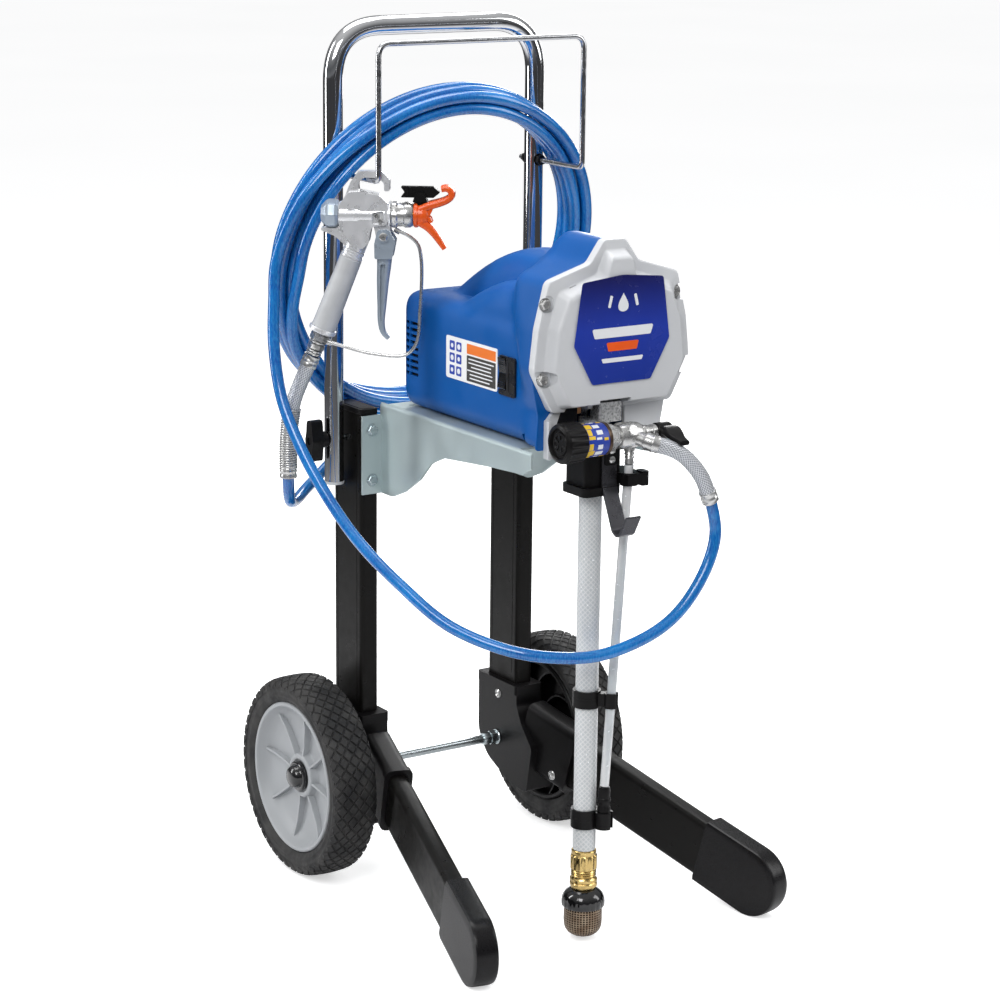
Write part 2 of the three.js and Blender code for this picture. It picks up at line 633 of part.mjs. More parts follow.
// ---- spray gun, hung by its hook on the near rod of the rack ----
// Local x runs forward along the barrel, y across the gun and z up.
function gunMatrix() {
  const [s, c] = [Math.sin(radians(GUN.yaw)), Math.cos(radians(GUN.yaw))];
  return new THREE.Matrix4().makeBasis(vector([c, -s, 0]), vector([s, c, 0]), vector([0, 0, 1]))
    .setPosition(GUN.x, GUN.y, GUN.z);
}

const onGun = (geometry) => placed(geometry, gunMatrix());
const gunPoint = ([s, t]) => vector([s, 0, t]).applyMatrix4(gunMatrix()).toArray();
const GRIP = { top: [-24, -38], bottom: [-59, -127], lean: [-0.366, -0.931] };
const alongGrip = (from, distance) => from.map((value, n) => value + GRIP.lean[n] * distance);
const gripRod = (from, to, radius, sides, endRadius) => rod(
  [from[0], 0, from[1]], [to[0], 0, to[1]], radius, sides, endRadius);

function gunBody() {
  const barrel = turned([[0, -59], [10, -59], [15, -52], [15, -38], [13, -36], [13, 14], [14, 16], [14, 36],
    [12, 38.6], [0, 38.6]], 'x', [0, 0, 0], 20);
  const root = gripRod(alongGrip(GRIP.top, -34), alongGrip(GRIP.top, -0.4), 12, 16);
  const lug = prismY(outline([[-4, -6], [18, -6], [15, -28], [8, -30], [1, -28]]), -9, 9);
  const hook = new THREE.Shape();
  hook.moveTo(-27, 6);
  hook.lineTo(-27, 34);
  hook.absarc(-15, 34, 12, Math.PI, Math.PI / 2, true);
  hook.absarc(2, 34, 12, Math.PI / 2, 0, true);
  hook.lineTo(14, 25);
  hook.lineTo(8, 25);
  hook.lineTo(8, 33);
  hook.absarc(2, 33, 6, 0, Math.PI / 2);
  hook.absarc(-13, 33, 6, Math.PI / 2, Math.PI);
  hook.lineTo(-19, 6);
  return onGun(join(barrel, root, lug, prismY(hook, -4, 4, 5)));
}

function gunTrigger() {
  const blade = outline([[-2, -33], [17, -33], [19, -42], [13, -60], [10, -90], [9, -118], [14, -131], [8, -133],
    [1, -122], [1, -90], [0, -60], [-2, -45]]);
  const ear = outline([[2, -15], [14, -15], [19, -30], [17, -46], [-2, -46], [-2, -30]]);
  const far = prismY(ear, 9.6, 12.4);
  const near = prismY(ear, -12.4, -9.6);
  const web = prismY(outline([[-2, -34], [17, -34], [17, -46], [-2, -46]]), -12, 12);
  return onGun(join(prismY(blade, -5, 5), far, near, web));
}

function triggerGuard() {
  const route = [[22, -17], [33, -22], [43, -31], [47, -47], [46, -103], [42, -138], [31, -150], [-8, -149],
    [-40, -141], [-51, -138]];
  const points = route.map(([s, t]) => [s, 0, t]);
  return onGun(swept(smoothPath(points), 2.2, 26, 6));
}

const STEM = 46;

function tipGuard() {
  const base = turned([[0, 39], [13.5, 39], [13.5, 50], [10, 56], [0, 56]], 'x', [0, 0, 0], 20);
  const upper = prismY(outline([[46, 4], [54, 11], [70, 14], [80, 17], [84, 14], [78, 10], [60, 5], [54, 1.5]]), -12, 12);
  const lower = prismY(outline([[46, -4], [54, -12], [68, -34], [74, -39], [77, -35], [62, -14], [54, -1.5]]), -12, 12);
  const stemHole = rod([STEM, 0, -9], [STEM, 0, 30], 6.5, 16);
  return onGun(cut(join(base, upper, lower), stemHole));
}

function switchTip() {
  const stem = rod([STEM, 0, -8], [STEM, 0, 22], 6, 16);
  const lever = prismY(outline([[25, 19], [28, 24.5], [25, 30], [60, 30], [67, 24.5], [60, 19]]), -4, 4);
  return onGun(join(stem, lever));
}

const swivelTop = alongGrip(GRIP.bottom, 0.4);
const swivelEnd = alongGrip(GRIP.bottom, 27);

add('gun_body', gunBody(), 'aluminium');
add('gun_grip', onGun(gripRod(GRIP.top, GRIP.bottom, 12.5, 20, 14)), 'grey');
add('gun_trigger', gunTrigger(), 'aluminium');
add('trigger_guard', triggerGuard(), 'chrome');
add('tip_guard', tipGuard(), 'orange');
add('switch_tip', switchTip(), 'black');
add('gun_swivel', onGun(gripRod(swivelTop, swivelEnd, 9, 6)), 'chrome');

// ---- paint hose: a guard on the pump, the front run, the coil, the tail and a guard on the gun ----
const y = (offset) => AXLE_Y + offset;

const pumpGuardRoute = [
  [17.3, y(-374.6), 546.8], [21, y(-381.6), 545.2], [32, y(-386), 541.5], [46, y(-387), 535.5], [61, y(-387), 525],
  [80, y(-386.5), 504], [93.5, y(-385), 477],
];

// The point a little beyond the end of a route, in line with its last two points.
function beyond(route, distance) {
  const [before, end] = [vector(route.at(-2)), vector(route.at(-1))];
  return end.clone().sub(before).setLength(distance).add(end).toArray();
}

const frontRunRoute = [
  beyond(pumpGuardRoute, 0.6), beyond(pumpGuardRoute, 14), [101, y(-385), 440], [88.5, y(-386), 404], [57.4, y(-386), 365.5],
  [22.5, y(-382), 343], [-30, y(-368), 326], [-69, y(-352), 325], [-110, y(-323), 331], [-150, y(-268), 350],
  [-176, y(-212), 385], [-194, y(-158), 422], [-205, y(-112), 462], [-214, y(-72), 508], [-219, y(-40), 557],
  [-218, y(-22), 612], [-213, y(-14), 658], [-208.6, y(-12), 700],
];

const gunGuardRoute = [alongGrip(swivelEnd, 0.4), [-80, -178], [-90, -205], [-95, -240], [-96, -287]].map(gunPoint);

const tailRoute = [
  beyond(gunGuardRoute, 0.6), beyond(gunGuardRoute, 12), [-192, y(-8), 435],
  [-170, y(18), 427], [-145, y(40), 432], [-115, y(56), 445], [-85, y(64), 464], [-60, y(66.5), 480],
  [-40, y(67), 490],
];

function hoseCoil() {
  const { radius, half, tilt } = COIL;
  const profile = [];
  for (let n = 0; n <= 8; n += 1) {
    const angle = (2 * Math.PI * n) / 8;
    profile.push([radius + half * Math.cos(angle), half * Math.sin(angle)]);
  }
  profile[8] = profile[0];
  const coil = turned(profile, 'y', [0, 0, 0], 40);
  return coil.rotateX(radians(tilt)).translate(0, COIL.y, COIL.z);
}

add('hose_guard_pump', swept(smoothPath(pumpGuardRoute), HOSE.guard, 8), 'zinc');
add('hose_run', swept(smoothPath(frontRunRoute), HOSE.radius, 46), 'hose');
add('hose_coil', hoseCoil(), 'hose');
add('hose_tail', swept(smoothPath(tailRoute), HOSE.radius, 14), 'hose');
add('hose_guard_gun', swept(smoothPath(gunGuardRoute), HOSE.guard, 10), 'zinc');

export default model;
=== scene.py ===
# The looks of an airless paint sprayer on its cart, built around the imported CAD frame.
# Pieces are drawn in millimetres in the frame's own axes and made in metres: +Z is up, -Y is the
# front, "far" stands on the +X side and "near" on the -X side.
import math

import bmesh
import bpy
import numpy as np
from mathutils import Matrix, Vector


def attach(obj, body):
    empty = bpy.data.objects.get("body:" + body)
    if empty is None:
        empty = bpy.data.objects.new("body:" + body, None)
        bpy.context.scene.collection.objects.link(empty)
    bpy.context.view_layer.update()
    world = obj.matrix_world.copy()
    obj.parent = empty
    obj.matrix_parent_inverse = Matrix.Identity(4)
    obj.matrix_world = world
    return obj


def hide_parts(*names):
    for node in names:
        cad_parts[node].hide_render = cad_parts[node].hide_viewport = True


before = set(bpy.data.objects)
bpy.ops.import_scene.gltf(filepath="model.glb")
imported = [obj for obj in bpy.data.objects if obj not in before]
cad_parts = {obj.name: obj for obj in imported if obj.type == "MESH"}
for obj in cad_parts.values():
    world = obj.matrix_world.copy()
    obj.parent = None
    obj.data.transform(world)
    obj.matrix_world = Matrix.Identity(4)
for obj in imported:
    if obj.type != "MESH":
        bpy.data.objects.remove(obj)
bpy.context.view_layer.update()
MM = 0.001
TAU = 2 * math.pi

AXLE_Y = 147.7
WHEEL = {"radius": 113.5, "x": 166.5}
UPRIGHT = {"x": 104, "width": 22, "depth": 60, "bottom": 126, "top": 525}
LEG = {"splay": 13, "slope": 15.6, "height": 66, "width": 22, "start": 25, "end": 330, "rise": 132}
FOOT = {"start": 283, "centre": 352, "radius": 38.5, "half": 13.5}
HANDLE = {"x": 130, "y": AXLE_Y + 3, "radius": 10.6, "bottom": 446, "top": 953, "bend": 58, "knob": 495}
RACK = {"radius": 3, "z": 788, "top": 931, "front": AXLE_Y - 92, "back": AXLE_Y + 28}
PUMP = {"x": -14, "y": AXLE_Y - 326}
VALVE = {"y": AXLE_Y - 357, "z": 551}
SUCTION = {"x": -18, "y": AXLE_Y - 328, "radius": 12, "top": 498, "bottom": 101}
PRIME = {"top": (9, VALVE["y"], 520), "bottom": (-6, AXLE_Y - 346, 174), "radius": 4.8}
GUN = {"x": -126, "y": AXLE_Y - 82, "z": 752.5, "yaw": 36}
HOSE_RADIUS = 6.3
COIL = {"y": AXLE_Y + 6, "z": 689, "tilt": 17, "radius": 185}
COVER_REAR = AXLE_Y - 327.6
COVER_FACE = AXLE_Y - 352


def behind_axle(offset):
    return AXLE_Y + offset


# ---- shapes: (points, faces), in millimetres ----

def joined(*shapes):
    """Several shapes as one, left as separate shells."""
    points, faces = [], []
    for part in shapes:
        base = len(points)
        points.extend(part[0])
        faces.extend(tuple(base + n for n in face) for face in part[1])
    return points, faces


def moved(shape, matrix):
    return [tuple(matrix @ Vector(p)) for p in shape[0]], shape[1]


def shifted(shape, x=0, y=0, z=0):
    return moved(shape, Matrix.Translation((x, y, z)))


def mirrored(shape):
    """The same shape on the other side of the YZ plane."""
    return [(-x, y, z) for x, y, z in shape[0]], [tuple(reversed(face)) for face in shape[1]]


AXES = {"x": lambda a, b, c: (c, a, b), "y": lambda a, b, c: (a, c, b), "z": lambda a, b, c: (a, b, c)}


def prism(outline, axis, low, high):
    """A flat outline carried along an axis. The outline is in (y, z), (x, z) or (x, y)."""
    count = len(outline)
    place = AXES[axis]
    low, high = sorted((low, high))
    points = [place(a, b, low) for a, b in outline] + [place(a, b, high) for a, b in outline]
    faces = [(n, (n + 1) % count, count + (n + 1) % count, count + n) for n in range(count)]
    return points, faces + [tuple(reversed(range(count))), tuple(range(count, 2 * count))]


def rounded(corners, radius, steps=5):
    """An outline with its corners rounded. radius is one number, or one for each corner."""
    count = len(corners)
    radii = radius if isinstance(radius, (list, tuple)) else [radius] * count
    result = []
    for n in range(count):
        corner = Vector(corners[n])
        back = Vector(corners[n - 1]) - corner
        on = Vector(corners[(n + 1) % count]) - corner
        if radii[n] <= 0:
            result.append(tuple(corner))
            continue
        half = back.angle(on) / 2
        reach = min(radii[n] / math.tan(half), 0.49 * back.length, 0.49 * on.length)
        start = corner + back.normalized() * reach
        end = corner + on.normalized() * reach
        for step in range(steps + 1):
            t = step / steps
            result.append(tuple((1 - t) ** 2 * start + 2 * t * (1 - t) * corner + t * t * end))
    return result


def rectangle(centre, size, radius, steps=5):
    (a, b), (w, h) = centre, (size[0] / 2, size[1] / 2)
    return rounded([(a - w, b - h), (a + w, b - h), (a + w, b + h), (a - w, b + h)], radius, steps)


def circle(centre, radius, sides=24, phase=0.0):
    return [(centre[0] + radius * math.cos(TAU * n / sides + phase),
             centre[1] + radius * math.sin(TAU * n / sides + phase)) for n in range(sides)]


def loft(rings, ends=True):
    """Rings of the same number of points, joined in order and closed by their first and last."""
    count = len(rings[0])
    points = [tuple(p) for ring in rings for p in ring]
    faces = []
    for row in range(len(rings) - 1):
        a, b = row * count, (row + 1) * count
        faces += [(a + n, a + (n + 1) % count, b + (n + 1) % count, b + n) for n in range(count)]
    if ends:
        last = (len(rings) - 1) * count
        faces += [tuple(reversed(range(count))), tuple(range(last, last + count))]
    return points, faces


def closed_loft(rings):
    """Rings joined in order, with the last one joined to the first."""
    total = len(rings) * len(rings[0])
    points, faces = loft(rings + [rings[0]], ends=False)
    return points[:total], [tuple(n % total for n in face) for face in faces]


def lathe(profile, axis, centre=(0, 0, 0), sides=48, swell=None):
    """A profile of (radius, distance) turned about an axis. A profile that ends off the axis
    where it began is a ring. swell(angle, radius, distance) may change the radius."""
    place = AXES[axis]
    rings = []
    for radius, along in profile:
        ring = []
        for n in range(sides):
            angle = TAU * n / sides
            r = swell(angle, radius, along) if swell and radius else radius
            ring.append(Vector(place(r * math.cos(angle), r * math.sin(angle), along)) + Vector(centre))
        rings.append(ring)
    if profile[0] == profile[-1]:
        return closed_loft(rings[:-1])
    return loft(rings, ends=bool(profile[0][0] and profile[-1][0]))


def box(x, y, z):
    x = sorted(x)
    return prism([(x[0], y[0]), (x[1], y[0]), (x[1], y[1]), (x[0], y[1])], "z", z[0], z[1])


def rod(start, end, radius, sides=24, end_radius=None):
    if end_radius is None:
        return tube([start, end], radius, sides)
    return tube([start, end], radius, sides, lambda share: radius + (end_radius - radius) * share)


def smooth_route(points, spacing):
    """A centripetal Catmull-Rom curve through the points, as a list of close points."""
    knots = [Vector(p) for p in points]
    knots = [2 * knots[0] - knots[1]] + knots + [2 * knots[-1] - knots[-2]]
    route = []
    for n in range(1, len(knots) - 2):
        p = knots[n - 1:n + 3]
        t = [0.0]
        for a, b in zip(p, p[1:]):
            t.append(t[-1] + max((b - a).length, 1e-6) ** 0.5)
        steps = max(1, round((p[2] - p[1]).length / spacing))
        for step in range(steps):
            u = t[1] + (t[2] - t[1]) * step / steps
            a1 = p[0] * ((t[1] - u) / (t[1] - t[0])) + p[1] * ((u - t[0]) / (t[1] - t[0]))
            a2 = p[1] * ((t[2] - u) / (t[2] - t[1])) + p[2] * ((u - t[1]) / (t[2] - t[1]))
            a3 = p[2] * ((t[3] - u) / (t[3] - t[2])) + p[3] * ((u - t[2]) / (t[3] - t[2]))
            b1 = a1 * ((t[2] - u) / (t[2] - t[0])) + a2 * ((u - t[0]) / (t[2] - t[0]))
            b2 = a2 * ((t[3] - u) / (t[3] - t[1])) + a3 * ((u - t[1]) / (t[3] - t[1]))
            route.append(b1 * ((t[2] - u) / (t[2] - t[1])) + b2 * ((u - t[1]) / (t[2] - t[1])))
    return route + [knots[-2]]


def bent_route(points, bends, steps=8):
    """Straight runs joined by rounded corners, with one bend for each corner."""
    route = [Vector(points[0])]
    for n, bend in enumerate(bends, start=1):
        corner = Vector(points[n])
        start = corner + (Vector(points[n - 1]) - corner).normalized() * bend
        end = corner + (Vector(points[n + 1]) - corner).normalized() * bend
        for step in range(steps + 1):
            t = step / steps
            route.append((1 - t) ** 2 * start + 2 * t * (1 - t) * corner + t * t * end)
    return route + [Vector(points[-1])]


def route_frames(route):
    """A point, two directions across the route and the share of its length, for each point."""
    points = [Vector(p) for p in route]
    total = sum((b - a).length for a, b in zip(points, points[1:]))
    side, gone, result = None, 0.0, []
    for n, point in enumerate(points):
        ahead = points[min(n + 1, len(points) - 1)] - points[max(n - 1, 0)]
        ahead.normalize()
        if side is None:
            side = ahead.cross(Vector((0.13, 0.21, 0.97)))
        side = (side - ahead * side.dot(ahead)).normalized()
        if n:
            gone += (point - points[n - 1]).length
        result.append((point, side, ahead.cross(side), gone / total))
    return result


def tube(route, radius, sides=16, swell=None):
    """A round tube along a route, with its ends closed. swell(share) may give the radius."""
    rings = []
    for point, side, up, share in route_frames(route):
        size = swell(share) if swell else radius
        rings.append([point + side * a + up * b for a, b in circle((0, 0), size, sides)])
    return loft(rings)


def pipe(route, radius, bore, sides=16):
    """A tube with a hole right through it."""
    outer, inner = [], []
    for point, side, up, _ in route_frames(route):
        outer.append([point + side * a + up * b for a, b in circle((0, 0), radius, sides)])
        inner.append([point + side * a + up * b for a, b in circle((0, 0), bore, sides)])
    return closed_loft(outer + inner[::-1])


def helix(route, coil_radius, wire, pitch):
    """A round wire wound along a route."""
    sides, steps = 6, 14
    length = sum((Vector(b) - Vector(a)).length for a, b in zip(route, route[1:]))
    turns = length / pitch
    frames = route_frames(route)
    points = []
    for n in range(int(turns * steps) + 1):
        share = n / (turns * steps)
        k = min(int(share * (len(frames) - 1)), len(frames) - 2)
        t = share * (len(frames) - 1) - k
        point = frames[k][0].lerp(frames[k + 1][0], t)
        side = frames[k][1].lerp(frames[k + 1][1], t)
        up = frames[k][2].lerp(frames[k + 1][2], t)
        angle = TAU * share * turns
        points.append(point + coil_radius * (side * math.cos(angle) + up * math.sin(angle)))
    return tube(points, wire, sides)


def hex_bolt(centre, axis, across, height, washer=0.0):
    """A bolt head with a domed top, pointing along +axis from the centre."""
    place = AXES[axis]
    corners = circle((0, 0), across / 1.732, 6)
    rings = [[Vector(place(a * k, b * k, h)) + Vector(centre) for a, b in corners]
             for k, h in ((1, 0), (1, 0.8 * height), (0.88, height))]
    head = loft(rings)
    if not washer:
        return head
    disc = lathe([(0, -0.3), (washer, -0.3), (washer, 0.3 * height), (0, 0.3 * height)], axis, centre, 24)
    return joined(head, disc)


# ---- making objects ----

def make_mesh(name, shape):
    mesh = bpy.data.meshes.new(name)
    mesh.from_pydata([tuple(c * MM for c in p) for p in shape[0]], [], shape[1])
    mesh.validate()
    return mesh


def outward(obj):
    """Merges double points and turns every shell's faces outwards."""
    work = bmesh.new()
    work.from_mesh(obj.data)
    bmesh.ops.remove_doubles(work, verts=work.verts, dist=1e-6)
    bmesh.ops.dissolve_degenerate(work, edges=work.edges, dist=1e-6)
    bmesh.ops.recalc_face_normals(work, faces=work.faces)
    work.to_mesh(obj.data)
    work.free()


def apply_modifiers(obj):
    bpy.context.view_layer.update()
    evaluated = obj.evaluated_get(bpy.context.evaluated_depsgraph_get())
    mesh = bpy.data.meshes.new_from_object(evaluated)
    obj.modifiers.clear()
    obj.data = mesh


def boolean(obj, shape, operation):
    tool = bpy.data.objects.new("tool", make_mesh("tool", shape))
    bpy.context.scene.collection.objects.link(tool)
    outward(tool)
    modifier = obj.modifiers.new("boolean", "BOOLEAN")
    modifier.operation = operation
    modifier.solver = "EXACT"
    modifier.use_self = True
    modifier.object = tool
    apply_modifiers(obj)
    bpy.data.objects.remove(tool)


def piece(name, shape, look, body="root", stands_for=(), slot=None, bevel=0.0, segments=3, cuts=(), adds=(),
          smooth=40, limit=32):
    """One finished piece: booleans, bevelled edges, smooth shading, a material and a body. The slot is not
    used.
    """
    obj = bpy.data.objects.new(name, make_mesh(name, shape))
    bpy.context.scene.collection.objects.link(obj)
    outward(obj)
    for extra in adds:
        boolean(obj, extra, "UNION")
    for tool in cuts:
        boolean(obj, tool, "DIFFERENCE")
    obj.data.shade_smooth()
    if bevel:
        modifier = obj.modifiers.new("bevel", "BEVEL")
        modifier.width = bevel * MM
        modifier.segments = segments
        modifier.limit_method = "ANGLE"
        modifier.angle_limit = math.radians(limit)
        modifier.use_clamp_overlap = True
        weighted = obj.modifiers.new("weighted", "WEIGHTED_NORMAL")
        weighted.keep_sharp = False
        apply_modifiers(obj)
    else:
        obj.data.set_sharp_from_angle(angle=math.radians(smooth))
    obj.data.materials.clear()
    for material in (look if isinstance(look, (list, tuple)) else [look]):
        obj.data.materials.append(material)
    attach(obj, body)
    if stands_for:
        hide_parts(*([stands_for] if isinstance(stands_for, str) else stands_for))
    return obj


def pair(name, shape, look, **facts):
    """The same piece on both sides of the cart, drawn for the far side."""
    body, stands_for = facts.pop("body", "root"), facts.pop("stands_for", None)
    cuts, adds = facts.pop("cuts", ()), facts.pop("adds", ())
    for side in ("far", "near"):
        turn = (lambda s: s) if side == "far" else mirrored
        piece(f"{name}_{side}", turn(shape), look, body=body.format(side=side),
              stands_for=stands_for.format(side=side) if stands_for else (),
              cuts=[turn(s) for s in cuts], adds=[turn(s) for s in adds], **facts)


# ---- materials ----

class Look:
    """A material being built: node by node, on object coordinates in metres."""

    def __init__(self, name, roughness=0.5, metallic=0.0, coat=0.0, coat_roughness=0.1, ior=1.5):
        self.material = bpy.data.materials.new(name)
        self.material.use_nodes = True
        self.tree = self.material.node_tree
        self.shader = self.tree.nodes["Principled BSDF"]
        self.shader.inputs["Metallic"].default_value = metallic
        self.shader.inputs["Roughness"].default_value = roughness
        self.shader.inputs["Coat Weight"].default_value = coat
        self.shader.inputs["Coat Roughness"].default_value = coat_roughness
        self.shader.inputs["IOR"].default_value = ior
        self.coordinates = self.node("ShaderNodeTexCoord").outputs["Object"]
        self.height = None

    def node(self, kind, **values):
        made = self.tree.nodes.new(kind)
        for key, value in values.items():
            setattr(made, key, value)
        return made

    def link(self, source, target):
        self.tree.links.new(source, target)
        return source

    def stretched(self, scale):
        mapping = self.node("ShaderNodeMapping")
        mapping.inputs["Scale"].default_value = scale
        self.link(self.coordinates, mapping.inputs["Vector"])
        return mapping.outputs["Vector"]

    def noise(self, scale, detail=3.0, stretch=None):
        texture = self.node("ShaderNodeTexNoise")
        texture.inputs["Scale"].default_value = scale
        texture.inputs["Detail"].default_value = detail
        self.link(self.stretched(stretch) if stretch else self.coordinates, texture.inputs["Vector"])
        return texture.outputs["Fac"]

    def cells(self, scale):
        texture = self.node("ShaderNodeTexVoronoi", feature="F1")
        texture.inputs["Scale"].default_value = scale
        self.link(self.coordinates, texture.inputs["Vector"])
        return texture.outputs["Distance"]

    def axis_of(self, axis):
        split = self.node("ShaderNodeSeparateXYZ")
        self.link(self.coordinates, split.inputs["Vector"])
        return split.outputs["XYZ".index(axis)]

    def maths(self, operation, a, b=0.0, c=0.0):
        made = self.node("ShaderNodeMath", operation=operation)
        for socket, value in zip(made.inputs, (a, b, c)):
            if isinstance(value, (int, float)):
                socket.default_value = value
            else:
                self.link(value, socket)
        return made.outputs[0]

    def spread(self, source, low, high, from_low=0.3, from_high=0.7):
        made = self.node("ShaderNodeMapRange")
        self.link(source, made.inputs["Value"])
        limits = {"From Min": from_low, "From Max": from_high, "To Min": low, "To Max": high}
        for key, value in limits.items():
            made.inputs[key].default_value = value
        return made.outputs["Result"]

    def mix(self, factor, first, second):
        """A colour between two, each a colour or another socket."""
        made = self.node("ShaderNodeMix", data_type="RGBA")
        self.link(factor, made.inputs["Factor"])
        for key, value in (("A", first), ("B", second)):
            socket = [s for s in made.inputs if s.name == key and s.type == "RGBA"][0]
            if isinstance(value, tuple):
                socket.default_value = (*value, 1)
            else:
                self.link(value, socket)
        return [s for s in made.outputs if s.type == "RGBA"][0]

    def colour(self, value):
        socket = self.shader.inputs["Base Color"]
        if isinstance(value, tuple):
            socket.default_value = (*value, 1)
        else:
            self.link(value, socket)
        return self

    def rough(self, source):
        self.link(source, self.shader.inputs["Roughness"])
        return self

    def bump(self, source, depth):
        """Adds a relief of that depth in millimetres."""
        made = self.node("ShaderNodeBump")
        made.inputs["Distance"].default_value = depth * MM
        made.inputs["Strength"].default_value = 1.0
        self.link(source, made.inputs["Height"])
        if self.height:
            self.link(self.height, made.inputs["Normal"])
        self.height = made.outputs["Normal"]
        self.link(self.height, self.shader.inputs["Normal"])
        return self


def srgb(red, green, blue):
    """A colour given as it looks on a screen, from 0 to 255."""
    def linear(value):
        value /= 255
        return value / 12.92 if value <= 0.04045 else ((value + 0.055) / 1.055) ** 2.4
    return linear(red), linear(green), linear(blue)


def scaled(colour, factor):
    return tuple(min(1.0, c * factor) for c in colour)


def plain_look(name, colour, roughness, metallic=0.0, coat=0.0, contrast=0.12, blotch=18.0, grain=900.0,
               depth=0.04):
    """Moulded, painted or cast surfaces: blotchy tone, uneven gloss and a fine relief."""
    look = Look(name, roughness, metallic, coat)
    tone = look.noise(blotch, 4)
    look.colour(look.mix(look.spread(tone, 0, 1), scaled(colour, 1 - contrast), scaled(colour, 1 + contrast)))
    worn, uneven = look.noise(blotch * 4, 5), 0.08
    look.rough(look.spread(worn, max(0.03, roughness - uneven), roughness + uneven))
    look.bump(look.noise(grain, 2), depth)
    return look.material


def pebbled_look(name, colour, roughness, cell, depth):
    """Moulded plastic with a grained, leathery skin."""
    contrast = 0.15
    look = Look(name, roughness)
    pebbles = look.cells(cell)
    tone = look.spread(look.noise(25, 4), 0, 1)
    look.colour(look.mix(tone, scaled(colour, 1 - contrast), scaled(colour, 1 + contrast)))
    look.rough(look.spread(pebbles, roughness + 0.1, roughness - 0.08, 0.0, 0.8))
    look.bump(pebbles, depth)
    look.bump(look.noise(cell * 2.5, 3), depth * 0.4)
    return look.material


def brushed_look(name, colour, roughness, stretch, depth=0.02, contrast=0.1, scale=60.0):
    """Bright metal with fine lines along one direction and faint stains."""
    look = Look(name, roughness, 1.0)
    lines = look.noise(scale, 6, stretch)
    stains = look.noise(12, 5)
    streaks = look.mix(look.spread(lines, 0, 1), scaled(colour, 1 - contrast), colour)
    look.colour(look.mix(look.spread(stains, 0, 0.35), streaks, scaled(colour, 0.8)))
    look.rough(look.spread(lines, roughness * 0.75, roughness * 1.4))
    look.bump(lines, depth)
    return look.material


# ---- camera, light and floor ----

def make_camera():
    right = Vector((0.8340, -0.5518, 0))
    up = Vector((0.1301, 0.1967, 0.9718))
    ahead = Vector((0.5362, 0.8105, -0.2358))
    roll = math.radians(0.61)
    across = right * math.cos(roll) + up * math.sin(roll)
    over = up * math.cos(roll) - right * math.sin(roll)
    data = bpy.data.cameras.new("camera")
    data.lens = 100.67
    data.sensor_width = 36
    data.clip_end = 40
    camera = bpy.data.objects.new("camera", data)
    bpy.context.scene.collection.objects.link(camera)
    place = Matrix((across, over, -ahead)).transposed().to_4x4()
    place.translation = Vector((-1.63549, -2.45697, 1.15633))
    camera.matrix_world = place
    bpy.context.scene.camera = camera


def area_light(name, place, target, size, power):
    data = bpy.data.lights.new(name, "AREA")
    data.shape = "RECTANGLE"
    data.size, data.size_y = size
    data.energy = power
    light = bpy.data.objects.new(name, data)
    light.location = place
    light.rotation_euler = (Vector(target) - Vector(place)).to_track_quat("-Z", "Y").to_euler()
    bpy.context.scene.collection.objects.link(light)


def make_world():
    """A white room for the eye, with darker walls for what shines."""
    world = bpy.data.worlds.new("studio")
    bpy.context.scene.world = world
    world.use_nodes = True
    tree = world.node_tree
    background = tree.nodes["Background"]
    background.inputs["Strength"].default_value = 0.62
    seen = tree.nodes.new("ShaderNodeBackground")
    seen.inputs["Color"].default_value = (1, 1, 1, 1)
    seen.inputs["Strength"].default_value = 1.0
    walls = tree.nodes.new("ShaderNodeValToRGB")
    stops = walls.color_ramp.elements
    stops[0].position, stops[0].color = 0.30, (0.75, 0.76, 0.78, 1)
    stops[1].position, stops[1].color = 0.95, (1, 1, 1, 1)
    stops.new(0.55).color = (0.16, 0.165, 0.175, 1)
    coordinates = tree.nodes.new("ShaderNodeTexCoord")
    split = tree.nodes.new("ShaderNodeSeparateXYZ")
    spread = tree.nodes.new("ShaderNodeMapRange")
    spread.inputs["From Min"].default_value = -1
    ray = tree.nodes.new("ShaderNodeLightPath")
    blend = tree.nodes.new("ShaderNodeMixShader")
    for source, target in (
            (coordinates.outputs["Generated"], split.inputs["Vector"]),
            (split.outputs["Z"], spread.inputs["Value"]),
            (spread.outputs["Result"], walls.inputs["Fac"]),
            (walls.outputs["Color"], background.inputs["Color"]),
            (ray.outputs["Is Camera Ray"], blend.inputs["Fac"]),
            (background.outputs["Background"], blend.inputs[1]),
            (seen.outputs["Background"], blend.inputs[2]),
            (blend.outputs["Shader"], tree.nodes["World Output"].inputs["Surface"])):
        tree.links.new(source, target)


def make_lamps():
    """Five large soft lamps: place, target, size and power of each."""
    area_light("key", (-2.2, -1.9, 2.6), (0, -0.1, 0.5), (1.6, 1.6), 62)
    area_light("fill", (2.4, -1.6, 1.7), (0, 0, 0.5), (1.2, 2.0), 30)
    area_light("top", (0.2, 0.5, 2.9), (0, 0, 0.5), (2.0, 1.6), 42)
    area_light("strip", (-1.9, 1.3, 1.4), (0, 0.1, 0.6), (0.35, 2.2), 26)
    area_light("rim", (1.7, 1.9, 1.6), (0, 0, 0.6), (0.5, 2.2), 24)


